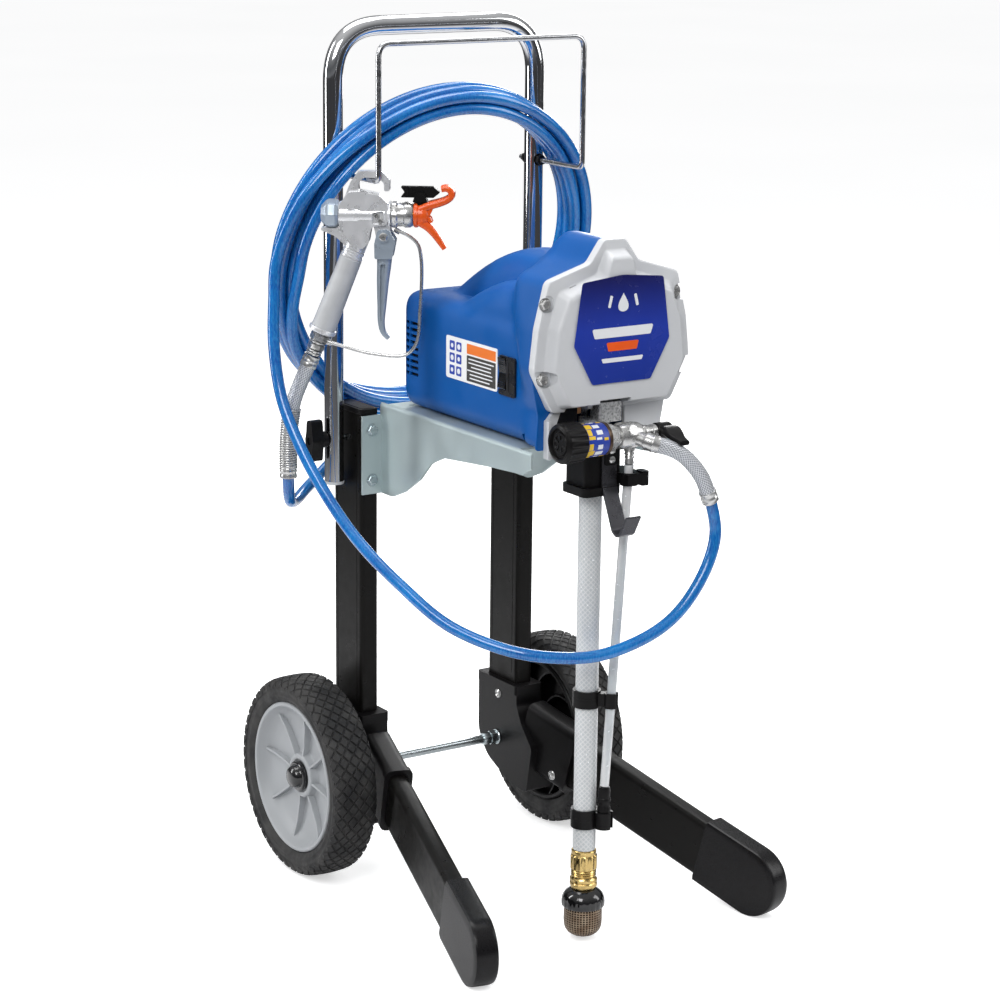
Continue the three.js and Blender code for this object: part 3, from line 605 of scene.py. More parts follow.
def make_floor():
    """A white sweep for the eye. What shines sees it bright near the object and dark further off."""
    reach = 60.0
    mesh = bpy.data.meshes.new("floor")
    mesh.from_pydata([(-reach, -reach, 0), (reach, -reach, 0), (reach, reach, 0), (-reach, reach, 0)], [],
                     [(0, 1, 2, 3)])
    floor = bpy.data.objects.new("floor", mesh)
    floor.location.z = -0.0006
    bpy.context.scene.collection.objects.link(floor)
    look = Look("floor", 0.9)
    look.shader.inputs["Specular IOR Level"].default_value = 0.0
    distance = look.node("ShaderNodeVectorMath", operation="LENGTH")
    look.link(look.coordinates, distance.inputs[0])
    seen = look.node("ShaderNodeLightPath").outputs["Is Camera Ray"]
    far = look.mix(look.spread(distance.outputs["Value"], 0, 1, 0.7, 2.2), (0.8, 0.8, 0.81),
                   (0.1, 0.1, 0.105))
    tone = look.mix(look.spread(look.noise(0.7, 2), 0, 1), (0.84, 0.845, 0.85), (0.88, 0.88, 0.885))
    look.colour(look.mix(seen, far, tone))
    look.shader.inputs["Emission Color"].default_value = (1, 1, 1, 1)
    look.link(look.maths("MULTIPLY", seen, 0.56), look.shader.inputs["Emission Strength"])
    mesh.materials.append(look.material)


bpy.context.scene.view_settings.view_transform = "Standard"
make_camera()
make_world()
make_lamps()
make_floor()


# ---- the object's materials ----

def tread_rubber():
    look = Look("tread_rubber", 0.72, ior=1.45)
    dust = look.noise(45, 6)
    look.colour(look.mix(look.spread(dust, 0, 1, 0.4, 0.75), srgb(30, 30, 31), srgb(62, 61, 60)))
    look.rough(look.spread(look.noise(180, 4), 0.55, 0.85))
    look.bump(look.noise(1500, 3), 0.05)
    look.bump(look.noise(140, 3), 0.12)
    return look.material


def braid_look(name, thread, gap, strands, pitch, roughness, metallic, depth, coat=0.0):
    """Threads crossing both ways round a tube. The mesh carries the turns and the millimetres
    along the tube as a map named weave."""
    look = Look(name, roughness, metallic, coat)
    weave = look.node("ShaderNodeUVMap", uv_map="weave").outputs["UV"]
    split = look.node("ShaderNodeSeparateXYZ")
    look.link(weave, split.inputs["Vector"])
    turns = look.maths("MULTIPLY", split.outputs["X"], strands * TAU)
    along = look.maths("MULTIPLY", split.outputs["Y"], TAU / pitch)
    one = look.maths("SINE", look.maths("ADD", turns, along))
    other = look.maths("SINE", look.maths("SUBTRACT", turns, along))
    height = look.maths("MAXIMUM", one, other)
    look.colour(look.mix(look.spread(height, 0, 1, 0.35, 0.9), gap, thread))
    look.rough(look.spread(look.noise(400, 3), roughness * 0.8, roughness * 1.25))
    look.bump(height, depth)
    return look


def hose_blue():
    look = Look("hose_blue", 0.16, coat=0.6, coat_roughness=0.05, ior=1.48)
    look.shader.inputs["Subsurface Weight"].default_value = 0.1
    look.shader.inputs["Subsurface Radius"].default_value = (0.001, 0.004, 0.012)
    tone = look.noise(14, 3)
    # Fine light-cyan flecks, stretched upright, are painted highlight streaks mixed into the hose's blue.
    highlight_flecks = look.noise(700, 3, (1, 1, 0.25))
    base = look.mix(look.spread(tone, 0, 1), srgb(0, 70, 158), srgb(0, 116, 200))
    look.colour(look.mix(look.spread(highlight_flecks, 0, 0.35), base, srgb(64, 178, 236)))
    look.rough(look.spread(look.noise(90, 4), 0.08, 0.2))
    look.bump(look.noise(500, 2), 0.02)
    return look.material


def clear_tube(name, strands, pitch, thread):
    look = braid_look(name, thread, srgb(226, 231, 234), strands, pitch, 0.22, 0.0, 0.06, coat=0.4)
    look.shader.inputs["Transmission Weight"].default_value = 0.35
    return look.material


def emblem_face():
    look = Look("emblem_face", 0.22, coat=0.5)
    height = look.spread(look.axis_of("Z"), 0, 1, 0.606, 0.716)
    mid = look.spread(height, 0, 1, 0.0, 0.55)
    high = look.spread(height, 0, 1, 0.5, 1.0)
    blue = look.mix(mid, srgb(26, 52, 150), srgb(36, 60, 168))
    look.colour(look.mix(high, blue, srgb(22, 22, 84)))
    look.rough(look.spread(look.noise(60, 4), 0.16, 0.3))
    look.bump(look.noise(900, 2), 0.015)
    return look.material


def casting_speckle():
    look = Look("casting_speckle", 0.42, 0.85)
    specks = look.cells(420)
    look.colour(look.mix(look.spread(specks, 0, 1, 0.1, 0.7), srgb(150, 152, 154), srgb(222, 223, 224)))
    look.rough(look.spread(look.noise(300, 4), 0.3, 0.6))
    look.bump(specks, 0.25)
    look.bump(look.noise(160, 3), 0.2)
    return look.material


def steel_mesh():
    """Woven wire: two sets of wires across each other, with painted shade in the openings between."""
    look = Look("steel_mesh", 0.35, 0.9)
    weave = look.node("ShaderNodeUVMap", uv_map="weave").outputs["UV"]
    split = look.node("ShaderNodeSeparateXYZ")
    look.link(weave, split.inputs["Vector"])
    wires_round, spacing = 40, 2.6
    wires = []
    for axis, rate in (("X", wires_round * math.pi), ("Y", math.pi / spacing)):
        wave = look.maths("SINE", look.maths("MULTIPLY", split.outputs[axis], rate))
        wires.append(look.maths("ABSOLUTE", wave))
    hole = look.maths("MULTIPLY", *wires)
    rust = look.mix(look.spread(look.noise(120, 4), 0, 1), srgb(178, 160, 138), srgb(128, 104, 84))
    # The openings are painted near black: painted shade seen through the mesh, over the rust tone of the
    # wires.
    look.colour(look.mix(look.spread(hole, 0, 1, 0.35, 0.6), rust, srgb(38, 30, 24)))
    look.bump(hole, -0.35)
    return look.material


RUBBER = tread_rubber()
RIM_GREY = plain_look("rim_grey", srgb(160, 163, 166), 0.46, contrast=0.05, grain=1400, depth=0.03)
BLACK_PLASTIC = pebbled_look("black_plastic", srgb(13, 12, 13), 0.4, 1300, 0.05)
FOOT_BLACK = pebbled_look("foot_black", srgb(14, 13, 15), 0.3, 1800, 0.02)
POWDER_COAT = plain_look("powder_coat", srgb(15, 14, 13), 0.34, contrast=0.12, grain=700, depth=0.05)
CHROME = brushed_look("chrome", (0.78, 0.79, 0.81), 0.07, (1, 1, 0.06), depth=0.004, contrast=0.04, scale=200)
WIRE = brushed_look("plated_wire", (0.62, 0.63, 0.65), 0.2, (1, 1, 1), depth=0.01, contrast=0.1, scale=160)
ZINC = plain_look("zinc_sheet", srgb(186, 200, 201), 0.42, metallic=0.55, contrast=0.04, blotch=5, grain=900,
                  depth=0.015)
ZINC_ROD = brushed_look("zinc_rod", (0.6, 0.66, 0.68), 0.22, (0.05, 1, 1), depth=0.01, scale=200)
HOUSING_BLUE = plain_look("housing_blue", srgb(0, 84, 160), 0.36, contrast=0.06, blotch=7, grain=1300,
                          depth=0.035, coat=0.06)
# Flat black for the shaded inside of the housing: painted shade behind the vents and the cover's lower
# window.
PAINTED_SHADE_BLACK = plain_look("painted_shade_black", srgb(14, 16, 22), 0.7, contrast=0.2)
COVER_GREY = plain_look("cover_grey", srgb(206, 208, 211), 0.36, contrast=0.04, blotch=9, grain=1500,
                        depth=0.03, coat=0.1)
EMBLEM = emblem_face()
WHITE_MARK = plain_look("white_mark", srgb(236, 238, 241), 0.35, contrast=0.03)
LABEL_WHITE = plain_look("label_white", srgb(240, 240, 240), 0.4, contrast=0.03)
LABEL_ORANGE = plain_look("label_orange", srgb(232, 118, 34), 0.4, contrast=0.06)
LABEL_DARK = plain_look("label_dark", srgb(58, 56, 52), 0.45, contrast=0.1)
SWITCH_BLACK = plain_look("switch_black", srgb(24, 23, 24), 0.28, contrast=0.1, grain=1800, depth=0.02)
GLOSS_BLACK = plain_look("gloss_black", srgb(15, 15, 16), 0.16, contrast=0.15, grain=800, depth=0.01,
                         coat=0.6)
SPECKLE = casting_speckle()
BRIGHT_STEEL = plain_look("bright_steel", srgb(204, 204, 203), 0.27, metallic=0.85, contrast=0.06, blotch=30,
                          grain=7000, depth=0.0015)
GUN_ALUMINIUM = plain_look("gun_aluminium", srgb(236, 237, 239), 0.3, metallic=0.55, contrast=0.04, blotch=20,
                           grain=2500, depth=0.012)
GUN_BLUE_GREY = plain_look("gun_blue_grey", srgb(164, 176, 188), 0.34, metallic=0.35, contrast=0.08,
                           grain=600, depth=0.03)
GRIP_GREY = pebbled_look("grip_grey", srgb(186, 188, 190), 0.5, 700, 0.12)
ORANGE = plain_look("guard_orange", srgb(240, 92, 22), 0.34, contrast=0.07, grain=1300, depth=0.03, coat=0.2)
BRASS = brushed_look("brass", (0.76, 0.55, 0.22), 0.24, (1, 1, 1), depth=0.02, contrast=0.2, scale=180)
HOSE_BLUE = hose_blue()
GUARD_BRAID = braid_look("guard_braid", srgb(232, 234, 238), srgb(150, 154, 162), 18, 4.2, 0.34, 0.5,
                         0.2).material
SUCTION_CLEAR = clear_tube("suction_clear", 14, 5.4, srgb(253, 254, 254))
PRIME_CLEAR = clear_tube("prime_clear", 1, 400.0, srgb(252, 253, 254))
STEEL_MESH = steel_mesh()
BAND_YELLOW = plain_look("band_yellow", srgb(236, 196, 44), 0.4, contrast=0.06)
BAND_BLUE = plain_look("band_blue", srgb(30, 62, 166), 0.4, contrast=0.06)
for dull, level in ((BLACK_PLASTIC, 0.2), (FOOT_BLACK, 0.25), (POWDER_COAT, 0.16), (HOUSING_BLUE, 0.3)):
    dull.node_tree.nodes["Principled BSDF"].inputs["Specular IOR Level"].default_value = level
COPPER = brushed_look("copper_winding", (0.62, 0.32, 0.16), 0.34, (0.1, 1, 1), depth=0.25, contrast=0.25,
                      scale=500)
LAMINATION = brushed_look("lamination_steel", (0.45, 0.45, 0.46), 0.4, (1, 0.02, 1), depth=0.1, contrast=0.2,
                          scale=900)


def weave_map(obj, turns_sides, rows):
    """A map of turns round the tube and millimetres along it, for a tube made ring by ring."""
    layer = obj.data.uv_layers.new(name="weave")
    for polygon in obj.data.polygons:
        if len(polygon.vertices) != 4:
            continue
        for loop in polygon.loop_indices:
            index = obj.data.loops[loop].vertex_index
            layer.data[loop].uv = (index % turns_sides / turns_sides,
                                   rows[min(index // turns_sides, len(rows) - 1)])
        values = [layer.data[loop].uv for loop in polygon.loop_indices]
        if max(v[0] for v in values) - min(v[0] for v in values) > 0.5:
            for value in values:
                if value[0] < 0.5:
                    value[0] += 1


def run_lengths(route):
    """The millimetres gone at each point of a route."""
    gone, rows = 0.0, [0.0]
    for a, b in zip(route, route[1:]):
        gone += (Vector(b) - Vector(a)).length
        rows.append(gone)
    return rows


# ---- cords: the paint hose with its guards, the suction tube and the prime tube ----
# Their routes are in metres, as the frame is.
AXLE = AXLE_Y * MM
PUMP_GUARD_ROUTE = [
    (0.0173, AXLE - 0.3746, 0.5468), (0.021, AXLE - 0.3816, 0.5452), (0.032, AXLE - 0.386, 0.5415),
    (0.046, AXLE - 0.387, 0.5355), (0.061, AXLE - 0.387, 0.525), (0.080, AXLE - 0.3865, 0.504),
    (0.0935, AXLE - 0.385, 0.477),
]
FRONT_RUN = [
    (0.101, AXLE - 0.385, 0.440), (0.0885, AXLE - 0.386, 0.404), (0.0574, AXLE - 0.386, 0.3655),
    (0.0225, AXLE - 0.382, 0.343), (-0.030, AXLE - 0.368, 0.326), (-0.069, AXLE - 0.352, 0.325),
    (-0.110, AXLE - 0.323, 0.331), (-0.150, AXLE - 0.268, 0.350), (-0.176, AXLE - 0.212, 0.385),
    (-0.194, AXLE - 0.158, 0.422), (-0.205, AXLE - 0.112, 0.462), (-0.214, AXLE - 0.072, 0.508),
    (-0.219, AXLE - 0.040, 0.557), (-0.218, AXLE - 0.022, 0.612), (-0.213, AXLE - 0.014, 0.658),
    (-0.2086, AXLE - 0.012, 0.700),
]
TAIL = [
    (-0.040, AXLE + 0.067, 0.490), (-0.060, AXLE + 0.0665, 0.480), (-0.085, AXLE + 0.064, 0.464),
    (-0.115, AXLE + 0.056, 0.445), (-0.145, AXLE + 0.040, 0.432), (-0.170, AXLE + 0.018, 0.427),
    (-0.192, AXLE - 0.008, 0.435),
]
GUN_GUARD = [(-96, -287), (-95, -240), (-90, -205), (-80, -178)]
GRIP_TOP, GRIP_BOTTOM, LEAN = Vector((-24, -38)), Vector((-59, -127)), Vector((-0.366, -0.931))
SWIVEL_LENGTH = 27


def gun_matrix():
    """Local x runs forward along the barrel, y across the gun and z up."""
    s, c = math.sin(math.radians(GUN["yaw"])), math.cos(math.radians(GUN["yaw"]))
    return Matrix(((c, s, 0, GUN["x"]), (-s, c, 0, GUN["y"]), (0, 0, 1, GUN["z"]), (0, 0, 0, 1)))


def gun_point(s, t, across=0.0):
    return gun_matrix() @ Vector((s, across, t))


# The six turns' places across the ring: radially outwards and along its axis.
SLOTS = [(7.2, -13.6), (-7.2, -13.6), (-7.2, 0), (-7.2, 13.6), (7.2, 13.6), (7.2, 0)]


def eased(value):
    value = min(max(value, 0.0), 1.0)
    return value * value * (3 - 2 * value)


def coil_turns():
    """The wound turns, clockwise from the left as seen from the front, in metres."""
    tilt = math.radians(COIL["tilt"])
    upward = Vector((0, -math.sin(tilt), math.cos(tilt)))
    backward = Vector((0, math.cos(tilt), math.sin(tilt)))
    last_turn = len(SLOTS) - 1
    first, last, step = 22, last_turn * 360 + 236, 12
    points = []
    for total in range(first, last + 1, step):
        turn, angle = divmod(total, 360)
        radial, axial = SLOTS[turn]
        if turn < last_turn:
            share = eased((angle - (332 - 14 * turn)) / 28)
            radial += (SLOTS[turn + 1][0] - radial) * share
            axial += (SLOTS[turn + 1][1] - axial) * share
        radial += 16.5 * (1 - eased((total - 5) / 60))
        radial += 0.8 * math.sin(math.radians(3 * angle) + 1.7 * turn)
        bow = math.radians(angle)
        reach = COIL["radius"] + radial
        point = Vector((0, COIL["y"], COIL["z"])) + backward * axial
        point += reach * (upward * math.sin(bow) - Vector((math.cos(bow), 0, 0)))
        points.append(tuple(point * MM))
    return points


def in_millimetres(route):
    return [Vector(p) / MM for p in route]


def make_hose():
    gun_end = [tuple(gun_point(*p) * MM) for p in GUN_GUARD]
    swivel_end = GRIP_BOTTOM + LEAN * (SWIVEL_LENGTH + 0.4)
    gun_end.append(tuple(gun_point(*swivel_end) * MM))
    knots = PUMP_GUARD_ROUTE + FRONT_RUN + coil_turns() + TAIL + gun_end
    route = smooth_route(in_millimetres(knots), 6)
    hose = piece("paint_hose", tube(route, HOSE_RADIUS, 20), HOSE_BLUE, stands_for=("hose_run", "hose_coil",
                 "hose_tail"), slot="hose_blue", smooth=60)
    guards = [make_guard("hose_guard_sleeve", PUMP_GUARD_ROUTE, "hose_guard_pump"),
              make_guard("gun_hose_guard", gun_end, "hose_guard_gun")]


def make_guard(name, knots, node):
    """A braided sleeve round the hose, held by a crimped metal ferrule at each end."""
    route = smooth_route(in_millimetres(knots), 2.5)
    sides = 24
    frames = route_frames(route)
    rings = []
    for grow in (8.1, 6.9):
        for point, side, up, share in (frames if grow > 7 else frames[::-1]):
            ripple = 0.16 * math.sin(share * len(route) * 2.1) if grow > 7 else 0
            rings.append([point + side * a + up * b for a, b in circle((0, 0), grow + ripple, sides)])
    sleeve = piece(name, closed_loft(rings), GUARD_BRAID, stands_for=node, slot="fitting_steel", smooth=60)
    rows = run_lengths(route)
    weave_map(sleeve, sides, rows + rows[::-1])
    for end, stretch in (("start", route[:6]), ("end", route[-6:])):
        ferrule = ferrule_shape(stretch, sides)
        part = piece(f"{name}_ferrule_{end}", ferrule, BRIGHT_STEEL, slot="fitting_steel", bevel=0.3,
                     segments=2)
        part.parent = sleeve
    return sleeve


def ferrule_shape(stretch, sides):
    """A crimped metal ring along six points of a route."""
    crimped = [9.2, 9.4, 8.6, 9.4, 8.6, 9.2]
    frames = route_frames(stretch)
    outer = [[point + side * a + up * b for a, b in circle((0, 0), size, sides)]
             for size, (point, side, up, _) in zip(crimped, frames)]
    inner = [[point + side * a + up * b for a, b in circle((0, 0), 6.7, sides)]
             for point, side, up, _ in frames[::-1]]
    return closed_loft(outer + inner)


def make_suction_tube():
    x, y, radius = SUCTION["x"], SUCTION["y"], SUCTION["radius"]
    route = [Vector((x, y, z)) for z in np.linspace(SUCTION["top"], SUCTION["bottom"], 60)]
    sides = 32
    hose = piece("suction_hose", pipe(route, radius, radius - 2.4, sides), SUCTION_CLEAR,
                 stands_for="suction_tube", slot="clear_pvc", smooth=60)
    rows = run_lengths(route)
    weave_map(hose, sides, rows + rows[::-1])
    liner = piece("suction_hose_bore", pipe(route, radius - 2.6, radius - 3.4, sides),
                  plain_look("milky_bore", srgb(214, 219, 221), 0.4, contrast=0.05), slot="clear_pvc",
                  smooth=60)
    liner.parent = hose


def make_prime_tube():
    top, bottom = Vector(PRIME["top"]), Vector(PRIME["bottom"])
    route = [top.lerp(bottom, t) for t in np.linspace(0, 1, 40)]
    sides = 20
    hose = piece("prime_hose", pipe(route, PRIME["radius"], PRIME["radius"] - 1.5, sides), PRIME_CLEAR,
                 stands_for="prime_tube", slot="clear_pvc", smooth=60)
    rows = run_lengths(route)
    weave_map(hose, sides, rows + rows[::-1])


# ---- strainer, fitting, deflector and clips at the foot of the tubes ----

FOOT_CENTRE = (SUCTION["x"], SUCTION["y"], 0)


def make_foot_valve():
    body = [(8.5, 57.2), (12.6, 57.2), (13.6, 58.2), (14.3, 60), (14.3, 63), (13.2, 64.2), (14.3, 65.4),
            (14.3, 68), (12.8, 69.4), (12.4, 71), (13.4, 72), (12.2, 73.2), (13.4, 74.4), (12.2, 75.6),
            (13.4, 76.8), (12.4, 78), (13.8, 79.4), (13.8, 93.4), (12.6, 95), (13.2, 97), (13.2, 99.4),
            (12.2, 100.4), (8.5, 100.4), (8.5, 57.2)]

    def knurled(angle, radius, along):
        flat = 0.55 * math.sin(12 * angle) if 79 < along < 94 and radius > 13 else 0
        return radius + flat + (0.4 * math.sin(6 * angle) if 59 < along < 69 and radius > 13 else 0)

    piece("foot_valve", lathe(body, "z", FOOT_CENTRE, 96, knurled), BRASS, stands_for="suction_fitting",
          slot="brass", smooth=35)


def make_strainer_hood():
    hood = [(4, 56.6), (13, 56.6), (14, 56), (19, 52.6), (21.6, 49), (22.7, 45.6), (23, 42), (23, 38.4),
            (22.2, 37.2), (20.6, 37.2), (20.6, 40), (4, 41), (4, 56.6)]

    def fluted(angle, radius, along):
        return radius - (0.5 * max(0, math.sin(20 * angle)) if radius > 21 and 37 < along < 47 else 0)

    piece("strainer_hood", lathe(hood, "z", FOOT_CENTRE, 120, fluted), GLOSS_BLACK, stands_for="strainer_cap",
          slot="strainer_black", smooth=40)


def make_strainer_screen():
    sides, profile = 72, []
    for height, radius in ((36.6, 19.6), (34, 20.2), (28, 20.4), (22, 20.5), (16, 20.1), (12, 19.0),
                           (8.6, 16.6), (6, 13.2), (4.2, 9), (3.4, 5), (3.1, 1.2)):
        profile.append((radius, height))
    thin_sheet = piece("strainer_screen", lathe(profile, "z", FOOT_CENTRE, sides), STEEL_MESH,
                   stands_for="strainer_mesh", slot="strainer_steel", smooth=60)
    gone = [0.0]
    for (r0, z0), (r1, z1) in zip(profile, profile[1:]):
        gone.append(gone[-1] + math.hypot(r1 - r0, z1 - z0))
    weave_map(thin_sheet, sides, gone)


def prime_at(height):
    top, bottom = Vector(PRIME["top"]), Vector(PRIME["bottom"])
    return top.lerp(bottom, (top.z - height) / (top.z - bottom.z))


def make_deflector():
    x, y, _ = prime_at(174)
    profile = [(0, 126), (6.4, 126), (7, 127), (7, 150), (6.2, 152), (6.2, 155), (7, 156.4), (7, 160),
               (6.2, 161), (6.6, 168), (5.6, 172.6), (0, 173)]

    def ribs(angle, radius, along):
        return radius - (0.45 * (math.sin(10 * angle) > 0.2) if 127 < along < 151 and radius > 6 else 0)

    slot = box((x - 12, x + 12), (y - 9, y - 3.5), (131, 137))
    piece("deflector", lathe(profile, "z", (x, y, 0), 80, ribs), BLACK_PLASTIC, stands_for="prime_deflector",
          slot="black_plastic", smooth=40, cuts=[slot])


def make_clip(name, node, low, high, hold, hold_radius):
    """A figure-of-eight clip: a full ring on the big tube and a sprung jaw on the small one."""
    x, y, radius = SUCTION["x"], SUCTION["y"], SUCTION["radius"]
    towards = Vector((hold[0] - x, hold[1] - y)).normalized()
    normal = Vector((-towards.y, towards.x))
    big = prism(circle((x, y), radius + 2.8, 40), "z", low, high)
    small = prism(circle((hold[0], hold[1]), hold_radius + 2.4, 32), "z", low + 1, high - 1)
    neck = [Vector((x, y)) + towards * a + normal * b for a, b in ((6, -5), (24, -5), (24, 5), (6, 5))]
    bridge = prism([tuple(p) for p in neck], "z", low + 2, high - 2)
    rim = prism(circle((x, y), radius + 3.0, 40), "z", (low + high) / 2 - 1.2, (low + high) / 2 + 1.2)
    mouth = [Vector(hold[:2]) + towards * a + normal * b for a, b in ((2, -2.2), (14, -4), (14, 4), (2, 2.2))]
    bores = [prism(circle((x, y), radius + 0.25, 40), "z", low - 3, high + 3),
             prism(circle((hold[0], hold[1]), hold_radius, 32), "z", low - 3, high + 3),
             prism([tuple(p) for p in mouth], "z", low - 3, high + 3)]
    piece(name, big, BLACK_PLASTIC, stands_for=node, slot="black_plastic", adds=[rim, bridge, small],
          cuts=bores, bevel=0.5, segments=2)


make_foot_valve()
make_strainer_hood()
make_strainer_screen()
make_deflector()
make_hose()
make_suction_tube()
make_prime_tube()
make_clip("clip_upper", "tube_clip_upper", 259, 277, prime_at(268), PRIME["radius"] + 0.4)
make_clip("clip_lower", "tube_clip_lower", 126, 146, prime_at(174), 7.3)


# ---- wheels ----
TREAD_BLOCKS = 46
TREAD_ROWS = 9


def tread_point(v):
    """The tyre's section: radius and distance across, for a place from -1 to 1 round the tread."""
    reach = v * 34
    flat = 17.0
    if abs(reach) <= flat:
        return 111.4 - 0.9 * (reach / flat) ** 2, reach
    shoulder, depth = 11.5, 9.2
    angle = min((abs(reach) - flat) / shoulder, 1.5)
    across = math.copysign(flat + depth * math.sin(angle), reach)
    return 110.5 - shoulder * (1 - math.cos(angle)), across


def tread_block(turn, row):
    """One raised rhombus of rubber, worn round at its top edges."""
    step = 1 / TREAD_BLOCKS
    centre_v = (row - (TREAD_ROWS - 1) / 2) * 2 / (TREAD_ROWS + 1)
    half_v = 2 / (TREAD_ROWS + 1) * 0.83
    half_u = step / 2 * 0.84
    phase = 0.5 * (row % 2)
    rings = []
    for lift, size in ((-0.8, 1.0), (1.15, 0.97), (1.75, 0.86)):
        ring = []
        for du, dv in ((-1, 0), (-0.5, -0.5), (0, -1), (0.5, -0.5), (1, 0), (0.5, 0.5), (0, 1), (-0.5, 0.5)):
            v = max(-1, min(1, centre_v + dv * half_v * size))
            radius, x = tread_point(v)
            angle = TAU * (turn + phase) * step + TAU * du * half_u * size
            slope = max(0.0, abs(x) - 17) / 9.2
            radius += lift * (1 - 0.5 * slope)
            x += math.copysign(lift * 0.75 * slope, x) if slope else 0
            ring.append((x, radius * math.cos(angle), radius * math.sin(angle)))
        rings.append(ring)
    return loft(rings)


def make_tyre():
    section = [(85.75, -21), (88, -23.2), (91, -24.2), (92.2, -25.2), (94, -25.4), (95.4, -24.8), (98, -25.4),
               (101, -25.6), (104, -25.2)]
    half = [tread_point(n / 12) for n in range(-12, 1)]
    crown = [(r, x) for r, x in half] + [(r, -x) for r, x in half[-2::-1]]
    profile = section[:-1] + crown + [(r, -x) for r, x in section[-2::-1]]
    profile.append(profile[0])
    blocks = [tread_block(turn, row) for row in range(TREAD_ROWS) for turn in range(TREAD_BLOCKS)]
    lugs = []
    for turn in range(TREAD_BLOCKS):
        for side in (-1, 1):
            lug = rounded([(100.2, -2.6), (105.2, -2.9), (105.2, 2.9), (100.2, 2.6)], 0.8, 2)
            points, faces = prism(lug, "x", -0.7, 0.9)
            bar = [(side * (25.0 + x), y, z) for x, y, z in points], faces
            lugs.append(moved(bar, Matrix.Rotation(TAU * (turn + 0.25 * side) / TREAD_BLOCKS, 4, "X")))
    tyre = joined(lathe(profile, "x", (0, 0, 0), 138), *blocks, *lugs)
    pair("tread_tyre", shifted(tyre, WHEEL["x"], AXLE_Y, WHEEL["radius"]), RUBBER, body="wheel_{side}",
         stands_for="tyre_{side}", slot="tyre_rubber", smooth=38)


def back_rib(start):
    """One of the curved ribs on the back of the rim, from the angle where it leaves the hub."""
    steps, line, rings = 8, [], []
    for step in range(steps + 1):
        t = step / steps
        radius, angle = 17 + 61.8 * t, start + 0.62 * t * t
        line.append((radius * math.cos(angle), radius * math.sin(angle)))
    for n, (y, z) in enumerate(line):
        ahead = Vector(line[min(n + 1, steps)]) - Vector(line[max(n - 1, 0)])
        side = Vector((-ahead.y, ahead.x)).normalized() * 1.2
        top = -21.5 + 2.6 * math.sin(math.pi * n / steps)
        rings.append([(-5, y - side.x, z - side.y), (top, y - side.x, z - side.y),
                      (top, y + side.x, z + side.y), (-5, y + side.x, z + side.y)])
    return loft(rings)


def make_rims():
    centre = (WHEEL["x"], AXLE_Y, WHEEL["radius"])
    face = [(5.7, -1.2), (78, -1.2), (78, -6), (85.2, -6), (85.2, 21), (84.2, 22.6), (82.4, 23.2),
            (80.6, 22.6), (79.2, 20.6), (77.4, 15.6), (73, 9.8), (66, 6), (56, 3.6), (44, 2.4), (30, 2.2),
            (26.6, 3.2), (25.4, 6), (25.0, 10), (23.6, 11.6), (20.6, 11.9), (18.6, 11.2), (17.8, 9.2),
            (5.7, 9.2), (5.7, -1.2)]
    shapes = [lathe(face, "x", (0, 0, 0), 96)]
    for n in range(8):
        fin = prism(rounded([(23, 10.2), (34, 9.6), (58, 10.6), (74.5, 13.6), (77, 12), (77, 4), (23, 1)],
                            [0, 3, 8, 1, 0, 0, 0], 4), "z", -1.5, 1.5)
        fin = [(b, a, c) for a, b, c in fin[0]], fin[1]
        shapes.append(moved(fin, Matrix.Rotation(TAU * (n + 0.2) / 8, 4, "X")))
    pair("rim_face", shifted(joined(*shapes), *centre), RIM_GREY, body="wheel_{side}",
         stands_for="rim_{side}", slot="rim_grey", bevel=0.5, segments=2)
    # The rim's back and its ribs are drawn in black plastic, as dark as they look from behind: painted shade
    # for the shadow that lies there.
    back_section = [(5.8, -24), (16, -24), (17.6, -22.6), (18, -20), (18, -7), (26, -5.6), (78.6, -5.6),
            (78.6, -21.4), (80, -23.6), (83.4, -23.9), (85.2, -22), (85.2, -6.3), (78, -6.3), (78, -1.5),
            (5.8, -1.5), (5.8, -24)]
    ribs = [back_rib(TAU * n / 10) for n in range(10)]
    pair("rim_core", shifted(joined(lathe(back_section, "x", (0, 0, 0), 96), *ribs), *centre), BLACK_PLASTIC,
         body="wheel_{side}", slot="black_plastic", bevel=0.4, segments=2)
    cap = [(0, 16), (5.6, 16), (5.6, 10.8), (17, 10.8), (17.2, 13.6), (16.6, 15.6), (15.2, 16.4),
           (13.6, 16.2), (12.8, 17.6), (12.2, 20.6), (10.4, 23), (7, 24.4), (3.4, 24.9), (0, 25)]
    pair("hub_cap", lathe(cap, "x", centre, 48), GLOSS_BLACK, stands_for="hubcap_{side}",
         slot="black_plastic")


def make_axle():
    end = WHEEL["x"] + 15.5
    y, z = AXLE_Y, WHEEL["radius"]
    profile = [(0, -end), (4.2, -end), (5, -end + 1), (5, end - 1), (4.2, end), (0, end)]
    parts = [lathe(profile, "x", (0, y, z), 40)]
    for side in (-1, 1):
        parts.append(shifted(lathe([(5.1, 0), (8.4, 0), (9, 0.8), (9, 1.8), (5.1, 1.8), (5.1, 0)], "x",
                                   (0, y, z), 32),
                             side * 85.4 - 0.9))
        nut = prism(circle((y, z), 8.2, 6, 0.3), "x", side * 80.5 - 4, side * 80.5 + 4)
        parts.append(nut)
        parts.append(shifted(lathe([(5.1, -5), (6.6, -5), (7, -4), (7, 4), (6.6, 5), (5.1, 5), (5.1, -5)],
                                   "x", (0, y, z), 32), side * 71.5))
    piece("axle_rod", joined(*parts), ZINC_ROD, stands_for="axle", slot="axle_zinc", smooth=35)


# ---- uprights, knuckles, legs and feet ----

